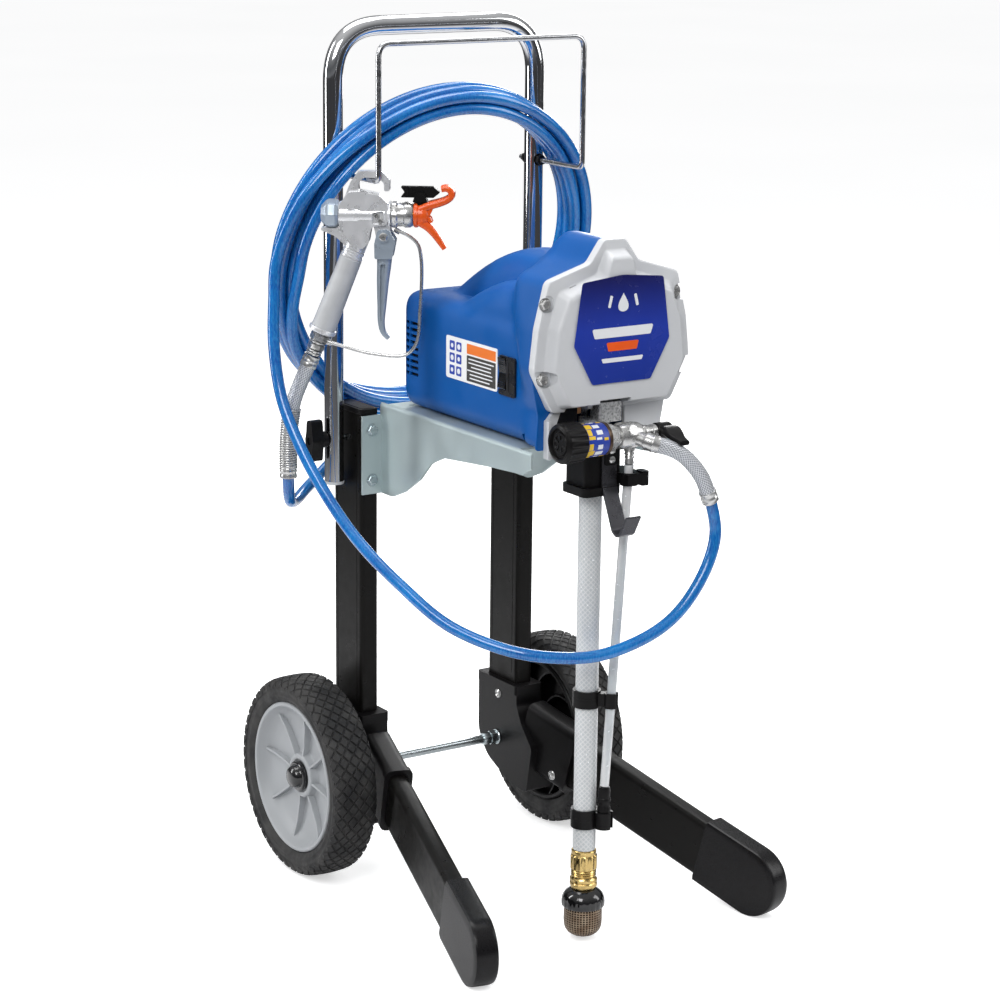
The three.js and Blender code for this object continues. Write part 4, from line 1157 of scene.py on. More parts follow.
def leg_matrix():
    """Local x runs along the leg, y across it outwards and z up, for the far side."""
    s, c = math.sin(math.radians(LEG["splay"])), math.cos(math.radians(LEG["splay"]))
    splayed = Matrix(((s, c, 0, UPRIGHT["x"]), (-c, s, 0, AXLE_Y - 38), (0, 0, 1, LEG["rise"]), (0, 0, 0, 1)))
    return splayed @ Matrix.Rotation(math.radians(LEG["slope"]), 4, "Y")


def hollow(centre, size, radius, wall, axis, low, high):
    """A rectangular tube with round corners, open at both ends."""
    outer = rectangle(centre, size, radius)
    inner = rectangle(centre, (size[0] - 2 * wall, size[1] - 2 * wall), max(radius - wall, 0.5))
    place = AXES[axis]
    rings = [[place(a, b, low) for a, b in outer], [place(a, b, high) for a, b in outer],
             [place(a, b, high) for a, b in inner], [place(a, b, low) for a, b in inner]]
    return closed_loft(rings)


def make_uprights():
    x, low, high = UPRIGHT["x"], UPRIGHT["bottom"], UPRIGHT["top"]
    size = (UPRIGHT["width"], UPRIGHT["depth"])
    screw = rod((x - 2, HANDLE["y"], HANDLE["knob"]), (x + 30, HANDLE["y"], HANDLE["knob"]), 3.5, 24)
    grooves = []
    for face_x in (x - 11.6, x + 11.6):
        for y in (AXLE_Y - 21, AXLE_Y + 21):
            grooves.append(box((face_x - 0.9, face_x + 0.9), (y - 1.2, y + 1.2), (low + 70, high + 3)))
    pair("upright_tube", hollow((x, AXLE_Y), size, 5, 1.8, "z", low, high), POWDER_COAT,
         stands_for="upright_{side}", slot="black_frame", cuts=[screw] + grooves, bevel=0.35, segments=2)
    lid = prism(rectangle((x, AXLE_Y), (22.6, 60.6), 5), "z", high + 0.3, high + 6)
    crown = prism(rectangle((x, AXLE_Y), (17, 55), 3.5), "z", high + 4, high + 6.6)
    plug = prism(rectangle((x, AXLE_Y), (17.4, 55.4), 2), "z", high - 14, high + 2)
    pair("upright_plug", lid, BLACK_PLASTIC, stands_for="upright_cap_{side}", slot="black_plastic",
         adds=[plug, crown], bevel=1.0)


def make_knuckles():
    x = UPRIGHT["x"]
    y = behind_axle
    side = rounded([(y(40), 184), (y(40), 112), (y(22), 86), (y(-24), 66), (y(-62), 62), (y(-72), 118),
                    (y(-50), 142), (y(-40), 162), (y(-40), 184)], [2, 34, 40, 30, 6, 10, 16, 12, 2], 6)
    tower = prism(side, "x", x - 17, x + 17)
    place = leg_matrix()
    socket = moved(prism(rectangle((0, 0), (30, 76), 9), "x", 6, 84), place)
    lip = moved(prism(rectangle((0, 0), (33, 79), 10), "x", 77, 84.5), place)
    collar = prism(rectangle((x, AXLE_Y), (37, 83), 5), "z", 174, 184.6)
    upright_pocket = prism(rectangle((x, AXLE_Y), (22.6, 60.6), 5), "z", UPRIGHT["bottom"] - 0.3, 200)
    leg_pocket = moved(prism(rectangle((0, 0), (22.6, 66.6), 8), "x", LEG["start"] - 0.3, 120), place)
    hole = rod((80, AXLE_Y, WHEEL["radius"]), (130, AXLE_Y, WHEEL["radius"]), 5.4, 24)
    recess = prism(rounded([(y(33), 168), (y(33), 118), (y(14), 96), (y(-22), 80), (y(-34), 92),
                            (y(-34), 168)],
                           [3, 26, 20, 8, 4, 3], 5), "x", x + 15.8, x + 20)
    pair("knuckle_shell", tower, BLACK_PLASTIC, stands_for="knuckle_{side}", slot="black_plastic",
         adds=[socket, collar, lip], cuts=[upright_pocket, leg_pocket, hole, recess], bevel=1.4, limit=30)


def make_rivets():
    """Two rivets on each knuckle's inner face."""
    inner = UPRIGHT["x"] - 17
    for name, at_y, at_z in (("upper", -2, 167), ("lower", -109, 97)):
        head = lathe([(0, 0.6), (5.6, 0.6), (5.6, 0), (5.2, -1.2), (3.4, -2.1), (1.8, -1.5), (1.4, -0.9),
                      (0, -0.9)], "x",
                     (inner + (3.4 if name == "lower" else 0), AXLE_Y + at_y, at_z), 28)
        pair(f"knuckle_rivet_{name}", head, BRIGHT_STEEL, slot="axle_zinc", smooth=35)


def make_legs():
    place = leg_matrix()
    tube_shape = hollow((0, 0), (LEG["width"], LEG["height"]), 8, 1.8, "x", LEG["start"], LEG["end"])
    pair("leg_tube", moved(tube_shape, place), POWDER_COAT, stands_for="leg_{side}", slot="black_frame",
         bevel=0.3, segments=2)
    start, centre, radius, half = FOOT["start"], FOOT["centre"], FOOT["radius"], FOOT["half"]
    half_turn = np.linspace(-math.pi / 2, math.pi / 2, 25)
    nose = [(centre + radius * math.cos(a), radius * math.sin(a)) for a in half_turn]
    outline = [(start, radius - 0.5), (start, -radius + 0.5)] + nose
    rings = []
    for share in np.linspace(-1, 1, 17):
        swell = (1 - abs(share) ** 5) ** 0.2 if abs(share) < 1 else 0
        inset = 7.5 * (1 - swell)
        scale = 1 - inset / radius
        ring = []
        for s, t in outline:
            drawn_in = max(start + 0.15 * inset, centre + (s - centre) * scale)
            ring.append((drawn_in if s > start + 1 else start, half * share, t * scale))
        rings.append(ring)
    shoe = moved(loft(rings), place)
    pocket = moved(prism(rectangle((0, 0), (22.6, 66.6), 8), "x", start - 12, LEG["end"] + 0.4), place)
    pair("foot_shoe", shoe, FOOT_BLACK, stands_for="foot_{side}", slot="foot_plastic",
         cuts=[pocket, box((0, 500), (-500, 400), (-40, 0))], bevel=0.7, limit=42)


# ---- handle, its knobs and the hose rack ----

def make_handle():
    x, y, radius, bottom = HANDLE["x"], HANDLE["y"], HANDLE["radius"], HANDLE["bottom"]
    top = HANDLE["top"] - radius
    bend = HANDLE["bend"]
    route = bent_route([(-x, y, bottom), (-x, y, top), (x, y, top), (x, y, bottom)], [bend, bend], 16)
    holes = []
    for side in (-1, 1):
        holes.append(rod((side * (x - 20), y, HANDLE["knob"]), (side * (x + 20), y, HANDLE["knob"]), 3.5, 24))
        holes.append(rod((side * x, y - 20, RACK["z"]), (side * x, y + 20, RACK["z"]), 3.5, 24))
        for step in (1, 2):
            low = HANDLE["knob"] + 60 * step
            holes.append(rod((side * (x - 20), y, low), (side * x, y, low), 3.6, 24))
    piece("push_handle", pipe(route, radius, radius - 1.5, 48), CHROME, stands_for="handle",
          slot="handle_chrome", cuts=holes, smooth=40)
    ring = lathe([(9.2, 0), (10.9, 0), (11.1, 0.6), (11.1, 3), (9.2, 3), (9.2, 0)], "z", (x, y, bottom - 1.6),
                 40)
    pair("handle_end_ring", ring, plain_look("ring_white", srgb(205, 207, 210), 0.4), slot="handle_chrome")


def make_knobs():
    x, y, z = HANDLE["x"], HANDLE["y"], HANDLE["knob"]
    face = x + HANDLE["radius"] + 0.3
    screw = lathe([(0, UPRIGHT["x"] + 1), (2.6, UPRIGHT["x"] + 1), (3, UPRIGHT["x"] + 2), (3, face + 2),
                   (0, face + 2)], "x",
                  (0, y, z), 24)
    collar = lathe([(3, face), (8.5, face), (9, face + 1), (8.4, face + 6), (9.4, face + 8), (9.4, face + 12),
                    (0, face + 12)], "x", (0, y, z), 40)
    wing = rounded([(y - 5.2, z - 23), (y + 5.2, z - 23), (y + 6.6, z - 10), (y + 9, z), (y + 6.6, z + 10),
                    (y + 5.2, z + 23), (y - 5.2, z + 23), (y - 6.6, z + 10), (y - 9, z), (y - 6.6, z - 10)],
                   [5, 5, 8, 6, 8, 5, 5, 8, 6, 8], 4)
    bar = prism(wing, "x", face + 6.4, face + 20.6)
    dimple = lathe([(0, face + 18.8), (4.4, face + 18.8), (5, face + 22), (0, face + 22)], "x", (0, y, z), 24)
    pair("clamp_knob", bar, BLACK_PLASTIC, body="handle_knob_{side}", stands_for="handle_knob_{side}",
         slot="black_plastic", adds=[collar], cuts=[dimple], bevel=1.6)
    pair("clamp_screw", screw, ZINC_ROD, body="handle_knob_{side}", slot="axle_zinc")


def make_rack():
    x, back, front, z, top = HANDLE["x"], RACK["back"], RACK["front"], RACK["z"], RACK["top"]
    route = bent_route([(-x, back, z), (-x, front, z), (-x, front, top), (x, front, top), (x, front, z),
                        (x, back, z)],
                       [7, 14, 14, 7], 10)
    piece("rack_wire", tube(route, RACK["radius"], 20), WIRE, stands_for="hose_rack", slot="rack_wire")
    for side, name in ((-1, "near"), (1, "far")):
        nuts = [prism(circle((side * x, z), 6.2, 6, 0.26), "y", at, at + 5.4)
                for at in (HANDLE["y"] + 11.4, HANDLE["y"] - 16.8)]
        washers = [lathe([(3.1, at), (7, at), (7, at + 0.8), (3.1, at + 0.8), (3.1, at)], "y",
                         (side * x, 0, z), 28)
                   for at in (HANDLE["y"] + 10.5, HANDLE["y"] - 11.3)]
        piece(f"rack_nuts_{name}", joined(*nuts, *washers), BLACK_PLASTIC, slot="black_plastic", bevel=0.4,
              segments=2)


make_tyre()
make_rims()
make_axle()
make_uprights()
make_knuckles()
make_rivets()
make_legs()
make_handle()
make_knobs()
make_rack()


# ---- mounting bracket ----

def make_bracket():
    y = behind_axle
    front, rear = y(-326), y(-30.3)
    outer = rounded([(-91, 430), (-91, 537.5), (91, 537.5), (91, 430)], [0, 4.5, 4.5, 0], 6)
    inner = rounded([(88.5, 430), (88.5, 535), (-88.5, 535), (-88.5, 430)], [0, 2, 2, 0], 6)
    channel = prism(outer + inner, "y", front, rear)
    below = rounded([(y(-29), 436), (y(-56), 436), (y(-83), 447), (y(-114), 467), (y(-136), 489),
                     (y(-162), 500), (y(-250), 508), (y(-312), 512), (y(-327.5), 521), (y(-327.5), 425),
                     (y(-29), 425)],
                    [0, 14, 26, 40, 34, 30, 60, 14, 0, 0, 0], 6)
    cuts = [prism(below, "x", -95, 95), box((-88.6, 88.6), (front - 2, front + 24), (531, 541)),
            box((-88.6, 88.6), (y(-44), rear + 2), (531, 541))]
    for side in (-1, 1):
        cuts.append(prism(rectangle((side * 60, y(-62)), (26, 8), 3.9), "z", 530, 542))
    tabs = [box((side * 90, side * 115), (y(-33), rear), (436, 524)) for side in (-1, 1)]
    piece("mount_bracket", channel, ZINC, stands_for="mounting_bracket", slot="bracket_zinc", cuts=cuts,
          adds=tabs, bevel=0.6, segments=2)
    bolts = [hex_bolt((side * 52, y(place), 534.8), "z", -10, -5, -8) for side in (-1, 1)
             for place in (-110, -250)]
    bolts += [hex_bolt((side * 103, y(-33), z), "y", -9, -4, -7) for side in (-1, 1) for z in (452, 508)]
    piece("bracket_bolts", joined(*bolts), ZINC_ROD, slot="axle_zinc", smooth=35)


# ---- blue motor housing ----
HOUSING_CENTRE = (0, 612)
HOUSING_REAR = AXLE_Y - 57
HOUSING_FRONT = AXLE_Y - 327
HOUSING_WALL = 3.0
SIDES = 160


def polar(corners, blur=3):
    """The distance from the housing's middle line to an outline, for each of its directions."""
    cx, cz = HOUSING_CENTRE
    reach = np.zeros(SIDES)
    for n in range(SIDES):
        angle = TAU * n / SIDES
        dx, dz = math.cos(angle), math.sin(angle)
        best = 0.0
        for a, b in zip(corners, corners[1:] + corners[:1]):
            ex, ez = b[0] - a[0], b[1] - a[1]
            det = dx * ez - dz * ex
            if abs(det) < 1e-9:
                continue
            t = ((a[0] - cx) * ez - (a[1] - cz) * ex) / det
            u = ((a[0] - cx) * dz - (a[1] - cz) * dx) / det
            if t > 0 and -1e-6 <= u <= 1 + 1e-6:
                best = max(best, t)
        reach[n] = best
    for _ in range(blur):
        reach = 0.25 * np.roll(reach, 1) + 0.5 * reach + 0.25 * np.roll(reach, -1)
    return reach


def ramp(y, start, length):
    """From 0 at a place along the housing to 1 further forward, levelling off."""
    share = min(1.0, max(0.0, (AXLE_Y + start - y) / length))
    return 1 - (1 - share) ** 1.4


def both_sides(corners):
    """An outline from its right half, given from the top middle downwards."""
    return corners + [(-x, z) for x, z in corners[::-1]]


def housing_ring(y):
    """A section of the housing: a rounded box, with a middle ridge, two side lobes and then a
    hump swelling out of it towards the front."""
    ridge = 660 + 63 * ramp(y, -76, 124)
    lobe = 650 + 49 * ramp(y, -128, 110)
    shapes = [polar(rectangle((0, 601.4), (159, 127), 20, 8), 1),
              polar(both_sides([(12, ridge), (31, ridge - 4), (42, ridge - 24), (47, 590)]), 2),
              polar(both_sides([(30, lobe - 3), (56, lobe), (69, lobe - 6), (76, lobe - 24), (76, 580)]), 2)]
    power = 60.0
    reach = (np.array(shapes) ** power).sum(0) ** (1 / power)
    front = polar(both_sides([(11.5, 748.6), (28, 725.8), (78.6, 710.6), (90.6, 665), (94, 622), (80, 578),
                              (86, 540)]), 2)
    upward = np.maximum(0, np.sin(np.arange(SIDES) * TAU / SIDES)) ** 2
    grow = np.array([eased((AXLE_Y - 283 + 49 * up - y) / 28) for up in upward])
    reach = reach + np.maximum(0, front - reach) * grow
    closeness = min(1.0, (HOUSING_REAR - y) / 14)
    reach = reach * (1 - 0.08 * (1 - closeness) ** 2.5)
    narrow = 80 - 15 * eased((AXLE_Y - 285 - y) / 34)
    ring = []
    for n in range(SIDES):
        angle = TAU * n / SIDES
        x, z = reach[n] * math.cos(angle), HOUSING_CENTRE[1] + reach[n] * math.sin(angle)
        if z < 600:
            x = min(x, narrow + (z - 560) * 0.35 if z > 560 else narrow)
        ring.append((x, y, max(537.9, z)))
    return ring


def housing_walls():
    """The housing's outer skin and, a wall's thickness inside it, the inner one."""
    stations = list(HOUSING_REAR - np.array([0, 1, 2.5, 5, 8.5, 13]))
    stations += list(np.linspace(HOUSING_REAR - 22, HOUSING_FRONT, 46))
    outer, inner = [housing_ring(y) for y in stations], []
    for y, ring in zip(stations, outer):
        middle = Vector((0, y, HOUSING_CENTRE[1]))
        back = min(y, HOUSING_REAR - HOUSING_WALL)
        row = []
        for point in map(Vector, ring):
            out = (point - middle).normalized()
            row.append((point.x - HOUSING_WALL * out.x, back, point.z - HOUSING_WALL * out.z))
        inner.append(row)
    return loft(outer + inner[2:][::-1])


def vent_slots():
    """Nine rows of slots through the side walls, the rear corners and the rear wall."""
    cuts, rear = [], HOUSING_REAR
    for n in range(9):
        z = 574.5 + 6.9 * n
        high = (z, z + 3.6)
        for side in (-1, 1):
            cuts.append(box((side * 90, side * 71), (rear - 34, rear - 17.5), high))
            cuts.append(box((side * 90, side * 71), (rear - 15.5, rear - 5), high))
            cuts.append(box((side * 69, side * 48), (rear - 6, rear + 4), high))
        cuts.append(prism(rectangle((0, z + 1.7), (64, 3.4), 1.6, 3), "y", rear - 6, rear + 4))
    return cuts


def make_housing():
    y, rear = behind_axle, HOUSING_REAR
    cuts = vent_slots()
    cuts.append(box((-100, -70), (y(-265), y(-249)), (590, 624)))
    tab_slot = rounded([(y(-303), 545), (y(-295), 542.5), (y(-294), 550), (y(-302), 552.5)], 1, 2)
    cuts += [prism(tab_slot, "x", side * 70, side * 100) for side in (-1, 1)]
    cuts.append(box((-64, 64), (HOUSING_FRONT - 6, y(-292)), (530, 548)))
    piece("housing_shell", housing_walls(), HOUSING_BLUE, stands_for="motor_housing", slot="housing_blue",
          cuts=[joined(*cuts)], smooth=38)
    # Dark sheets just inside the vent slots: painted shade, so the slots look as dark as the shaded inside.
    shade_sheets = [box((side * 70.5, side * 69.5), (rear - 40, rear - 7.5), (566, 645)) for side in (-1, 1)]
    shade_sheets.append(box((-69.4, 69.4), (rear - 8.6, rear - 7.6), (566, 645)))
    piece("vent_baffle", joined(*shade_sheets), PAINTED_SHADE_BLACK, slot="switch_black")
    # A dark sheet behind the cover's lower window: painted shade for the housing's inside seen through it.
    thin_sheet = rounded([(-74, 541), (-32, 541), (-32, 583), (-74, 583)], 3, 3)
    piece("bay_screen", prism(thin_sheet, "y", AXLE_Y - 322, AXLE_Y - 320), PAINTED_SHADE_BLACK, slot="switch_black",
          bevel=0.4)
    lip = rounded([(-68, 538.5), (-86, 538.5), (-84, 574), (-93, 618), (-90, 640), (-78, 640), (-78, 604),
                   (-68, 580)],
                  [2, 4, 12, 10, 3, 3, 10, 6], 4)
    piece("housing_lip", prism(lip, "y", HOUSING_FRONT - 0.4, HOUSING_FRONT + 2.4), HOUSING_BLUE,
          slot="housing_blue", bevel=0.5, segments=2)


def make_switch():
    y, z = AXLE_Y - 257, 607
    frame_shape = prism(rectangle((y - 9, z - 2), (30, 41), 3), "x", -82.0, -79)
    window = box((-90, -70), (y - 8.2, y + 8.2), (z - 17.2, z + 17.2))
    dent = prism(rectangle((y - 16.5, z - 2), (9, 32), 2), "x", -84, -81.4)
    piece("switch_bezel", frame_shape, SWITCH_BLACK, slot="switch_black", cuts=[window, dent], bevel=0.8)
    rocker = rounded([(-80.4, z + 16.6), (-82.9, z + 15.8), (-80.6, z), (-82.9, z - 15.8), (-80.4, z - 16.6),
                      (-73, z - 14.6), (-73, z + 14.6)], [1, 1.2, 4, 1.2, 1, 2, 2], 4)
    heights = [z + side * (9 + 2.2 * n) for side in (-1, 1) for n in range(3)]
    ridges = [box((-82.6, -81.2), (y - 4.6, y + 4.6), (at - 0.4, at + 0.4)) for at in heights]
    piece("switch_rocker", prism(rocker, "y", y - 6.9, y + 6.9), GLOSS_BLACK, body="power_switch",
          stands_for="power_switch", slot="switch_black", adds=ridges, bevel=0.5, segments=2)


def flat_plate(outline, x, thick):
    """A thin plate on the near side of the housing."""
    return prism(outline, "x", x - thick, x + 0.6)


def make_label():
    """A plain sticker: a white plate with a colour block, grey bars and blank squares."""
    y, x = behind_axle, -79.9
    piece("side_label", flat_plate(rectangle((y(-197), 607.5), (98, 45), 3), x, 0.45), LABEL_WHITE,
          slot="cover_grey", bevel=0.12, segments=1)
    piece("label_block", flat_plate(rectangle((y(-216), 621.5), (55, 10.5), 0.8), x, 0.6), LABEL_ORANGE,
          slot="guard_orange")
    piece("label_panel", flat_plate(rectangle((y(-216), 601), (55, 27), 0.8), x, 0.6), LABEL_DARK,
          slot="switch_black")
    bars = [flat_plate(rectangle((y(-216) + 2.5 * (n % 2), 611 - 4 * n), (48 - 5 * (n % 3), 1.3), 0.4), x,
                       0.7)
            for n in range(6)]
    piece("label_bars", joined(*bars), WHITE_MARK, slot="cover_grey")
    squares, dots = [], []
    for row in range(3):
        for column in range(2):
            middle = (y(-160 - 13 * column), 620.5 - 13 * row)
            squares.append(flat_plate(rectangle(middle, (10, 10), 1.6), x, 0.6))
            dots.append(flat_plate(circle(middle, 2.4 + 0.6 * ((row + column) % 2), 16), x, 0.7))
    piece("label_squares", joined(*squares), BAND_BLUE, slot="emblem_blue")
    piece("label_dots", joined(*dots), WHITE_MARK, slot="cover_grey")


def make_gland():
    rear = HOUSING_REAR + 0.3
    profile = [(0, rear), (11, rear), (11.4, rear + 1), (11.4, rear + 4), (10.6, rear + 5), (8, rear + 5.6)]
    for n in range(5):
        low, size = rear + 6.4 + 2.7 * n, 7.6 - 0.35 * n
        profile += [(size - 1.2, low), (size - 1.2, low + 0.8), (size, low + 1.1), (size, low + 2.2)]
    profile += [(5.2, rear + 19.7), (3.4, rear + 19.7), (3.4, rear + 12), (0, rear + 12)]
    piece("gland_sleeve", lathe(profile, "y", (45, 0, 575), 36), BLACK_PLASTIC, stands_for="cord_gland",
          slot="black_plastic", smooth=30)


# ---- front cover and emblem ----

def cover_outline(inset):
    """The cover's outline from the front, drawn in by an inset."""
    k, radius = inset, 9
    corners = [(-13, 750 - k), (13, 750 - k), (30 - 0.7 * k, 727 - k), (80 - k, 712 - k), (92 - k, 665),
               (97 - k, 622), (74 - 0.8 * k, 578 + 0.4 * k), (-74 + 0.8 * k, 578 + 0.4 * k), (-97 + k, 622),
               (-92 + k, 665), (-80 + k, 712 - k), (-30 + 0.7 * k, 727 - k)]
    sizes = [6, 6, 12, radius, 20, 16, radius, radius, 16, 20, radius, 12]
    return rounded(corners[::-1], sizes[::-1], 6)


def cover_ring(y, inset):
    return [(x, y, z) for x, z in cover_outline(inset)]


def make_cover():
    rear, face = COVER_REAR, COVER_FACE
    shell = loft([cover_ring(y, inset) for y, inset in (
        (rear, 0.4), (rear - 1, 0), (rear - 8.6, 0), (rear - 9.8, 0.6), (rear - 10.6, 2.2),
        (rear - 11.2, 9.4), (rear - 12.6, 11.2), (face + 5.2, 14.6), (face + 2.4, 16), (face + 0.7, 17.6),
        (face, 19.8))])
    skirt = prism(rounded([(-64, 584), (-77, 568), (-77, 530), (-40, 530), (-40, 577), (20, 577), (20, 545),
                           (64, 545), (71, 584)], [0, 6, 5, 5, 3, 3, 5, 9, 0], 5), "y", rear - 4.5, rear)
    wall = prism(rounded([(-77, 570), (-77, 530), (-73.6, 530), (-73.6, 570)], 1, 2), "y", rear - 9, rear)
    cavity = loft([cover_ring(y, 4.5) for y in (rear + 5, rear - 6)])
    front_cavity = loft([cover_ring(y, 22) for y in (rear - 5.4, face + 3)])
    cuts = [cavity, front_cavity, box((-25, 13), (face - 5, rear + 5), (540, 589)),
            prism(rounded([(-68, 556), (-30, 556), (-30, 582), (-58, 582)], 3, 3), "y", face - 6, rear + 6)]
    for side in (-1, 1):
        for z, at_x in ((690, 84.5), (614, 86.5)):
            pocket = rounded([(side * (at_x - 10), z - 8.5), (side * (at_x + 16), z - 8.5),
                              (side * (at_x + 16), z + 8.5), (side * (at_x - 10), z + 8.5)], [7, 0, 0, 7], 5)
            depth = rear - 9.5 if side < 0 else rear - 5
            cuts.append(prism(pocket, "y", face - 8, depth))
    notch = rounded([(88, 682), (106, 682), (106, 698), (88, 698)], [3, 0, 0, 3], 3)
    cuts.append(prism(notch, "y", face - 6, rear + 6))
    piece("face_cover", shell, COVER_GREY, stands_for="front_cover", slot="cover_grey", adds=[skirt, wall],
          cuts=cuts, bevel=0.8, limit=34)


def make_cover_screws():
    """Four hexagon screws with washers; those on the far side stand a little further in."""
    screws = []
    for side in (-1, 1):
        for z, at_x in ((690, 85.0), (614, 87.0)):
            centre = (side * at_x - (side > 0) * 6, COVER_REAR - (9.6 if side < 0 else 5.1), z)
            screws.append(hex_bolt(centre, "y", -9.4, -4.6, -6.9))
            screws.append(lathe([(3.0, -4.7), (3.8, -4.7), (3.8, -5.5), (3.0, -5.5), (3.0, -4.7)], "y",
                                centre, 24))
    piece("cover_screws", joined(*screws), BRIGHT_STEEL, slot="fitting_steel", smooth=30)


def make_emblem():
    rear = COVER_FACE - 0.3
    shape = rounded([(-50, 711), (0, 716), (50, 711), (59, 647), (36, 606), (-36, 606), (-59, 647)],
                    [4, 60, 4, 6, 4, 4, 6], 5)
    piece("emblem_face", prism(shape, "y", rear - 1.4, rear), EMBLEM, stands_for="emblem_plate",
          slot="emblem_blue", bevel=0.6)
    y0, y1 = rear - 1.75, rear - 1.2
    round_turn = np.linspace(0, TAU, 33)[:-1]
    drop = [(9 * math.sin(a) * math.sin(a / 2) ** 1.5, 688 + 9.5 * math.cos(a)) for a in round_turn]
    marks = [prism(drop[::-1], "y", y0, y1)]
    for n in (-1, 1):
        marks.append(prism(rounded([(n * 13, 695), (n * 16, 696), (n * 19, 684), (n * 16, 683)], 1, 2), "y",
                           y0, y1))
    marks.append(prism(rounded([(-38, 663), (38, 663), (34.6, 653), (-34.6, 653)], 2, 3), "y", y0, y1))
    marks.append(prism(rounded([(-26, 632), (26, 632), (24, 627.5), (-24, 627.5)], 1, 3), "y", y0, y1))
    piece("emblem_marks", joined(*marks), WHITE_MARK, slot="cover_grey", smooth=30)
    stripe = prism(rounded([(-20, 648), (20, 648), (17.6, 639), (-17.6, 639)], 1.5, 3), "y", y0, y1)
    piece("emblem_stripe", stripe, ORANGE, slot="guard_orange", smooth=30)


# ---- pump, manifold, pressure knob and prime valve ----

def make_pump():
    x, y = PUMP["x"], PUMP["y"]
    barrel = [(0, 498.8), (14.6, 498.8), (16, 500.2), (16, 538), (14.6, 540), (14.6, 556), (16, 558),
              (16, 566), (7.8, 566), (7.8, 530), (0, 530)]
    block = prism(rectangle((x + 7.5, y - 2), (29, 34), 3), "z", 564, 584.6)
    lugs = [prism(rectangle((x + 7.5 + side * 7.2, y - 19), (10, 1.6), 0.6), "z", 567, 582)
            for side in (-1, 1)]
    piece("pump_cylinder", lathe(barrel, "z", (x, y, 0), 48), SPECKLE, stands_for="pump_body",
          slot="cast_aluminium",
          adds=[block] + lugs, cuts=[rod((x, y, 540), (x, y, 600), 7.8, 32)], bevel=0.6, segments=2)


def make_manifold():
    y, z = VALVE["y"], VALVE["z"]
    centre = (0, y, z)
    nut = prism(circle((y, z), 13.2, 6, 0.2), "x", -21.9, -11.5)
    body = [(0, -12), (10, -12), (10, -8), (12.4, -7.4), (13.6, -5), (14, 2), (13.7, 10), (13, 16),
            (11.6, 19.6), (9.2, 20.6), (8.4, 22.4), (9, 23.6), (9, 25), (0, 25)]
    outlet = rod((8, y, z), (16.6, y - 16.6, z - 3.9), 7.6, 32)
    boss = rod((5, y, z), (5, y - 13, z + 8), 7, 32, 5.6)
    barb = lathe([(0, 544), (6.8, 544), (6.8, 537.5), (5.4, 536.6), (5.8, 534.8), (4.2, 534.4), (5.4, 531),
                  (4.0, 530.6), (5.2, 527.2), (3.9, 526.8), (4.9, 521.4), (0, 521.2)], "z", (9, y, 0), 32)
    piece("valve_manifold", lathe(body, "x", centre, 48), BRIGHT_STEEL, stands_for="manifold",
          slot="fitting_steel", adds=[nut, outlet, boss, barb], bevel=0.5, segments=2)
    profile = [(0, 25.4), (7.4, 25.4), (8, 26.2), (8, 30), (6.8, 31), (6.8, 34), (8, 35), (8, 39.4),
               (7.2, 40.2), (0, 40.2)]
    piece("prime_valve_stem", lathe(profile, "x", centre, 36), BRIGHT_STEEL, stands_for="prime_valve",
          slot="cast_aluminium", smooth=35)


def make_prime_lever():
    y, z = VALVE["y"], VALVE["z"]
    hub = lathe([(0, 40.7), (8.2, 40.7), (9, 41.6), (9, 57), (7.6, 59.4), (4, 60), (0, 60)], "x", (0, y, z),
                40)
    rings = []
    for t in np.linspace(0, 1, 12):
        reach = -4 - 33 * t
        droop = 6.4 * math.sin(math.pi * t) * (1 - t) - 6.5 * t * t
        thick = 9 - 4.2 * t + 1.8 * math.sin(math.pi * t)
        wide = 15 + 8 * math.sin(math.pi * min(1, 1.2 * t)) - 3.4 * t
        ring = rectangle((51.6 - 2.6 * math.sin(math.pi * t), 0), (wide, thick), min(thick, wide) * 0.46, 6)
        rings.append([(a, y + reach, z + droop + b) for a, b in ring])
    ribs = [box((45.8, 57.4), (y - 10 - 4 * n, y - 8.6 - 4 * n), (z + 3.4, z + 6.2 - 0.5 * n))
            for n in range(4)]
    piece("prime_lever", hub, BLACK_PLASTIC, body="prime_handle", stands_for="prime_handle",
          slot="knob_black", adds=[loft(rings)] + ribs, bevel=0.6, segments=2)


def make_pressure_knob():
    y, z = VALVE["y"], VALVE["z"]
    centre = (0, y, z)
    sides = 160
    rim = [(0, -76.4), (8.6, -76.4), (9.4, -77.6), (11.4, -77.6), (12.2, -76.4), (14.6, -76.4), (15.4, -79),
           (16.6, -80), (19.4, -78.6), (20.6, -76), (20.8, -72), (20.8, -57.6), (20.2, -55.4), (17.4, -53.8),
           (14, -53.8), (14, -24.6), (0, -24.6)]

    def ribbed(angle, radius, along):
        if radius < 19 or not -75 < along < -56:
            return radius
        return radius - 0.9 + 1.1 * max(0.0, math.sin(20 * angle)) ** 0.5 * (1 if radius > 20.4 else 0.4)

    cap = []
    for n in range(6):
        arc = [(10.2 * math.cos(TAU * (n + s) / 6), 10.2 * math.sin(TAU * (n + s) / 6))
               for s in (0.1, 0.3, 0.5)]
        arc += [(4 * math.cos(TAU * (n + s) / 6), 4 * math.sin(TAU * (n + s) / 6)) for s in (0.5, 0.1)]
        cap.append(shifted(prism(arc, "x", -77.4, -75.4), 0, y, z))
    piece("pressure_dial", lathe(rim, "x", centre, sides, ribbed), BLACK_PLASTIC, body="pressure_knob",
          stands_for="pressure_knob", slot="knob_black", smooth=32)
    piece("dial_face_ribs", joined(*cap), GLOSS_BLACK, body="pressure_knob", slot="knob_black", smooth=32)


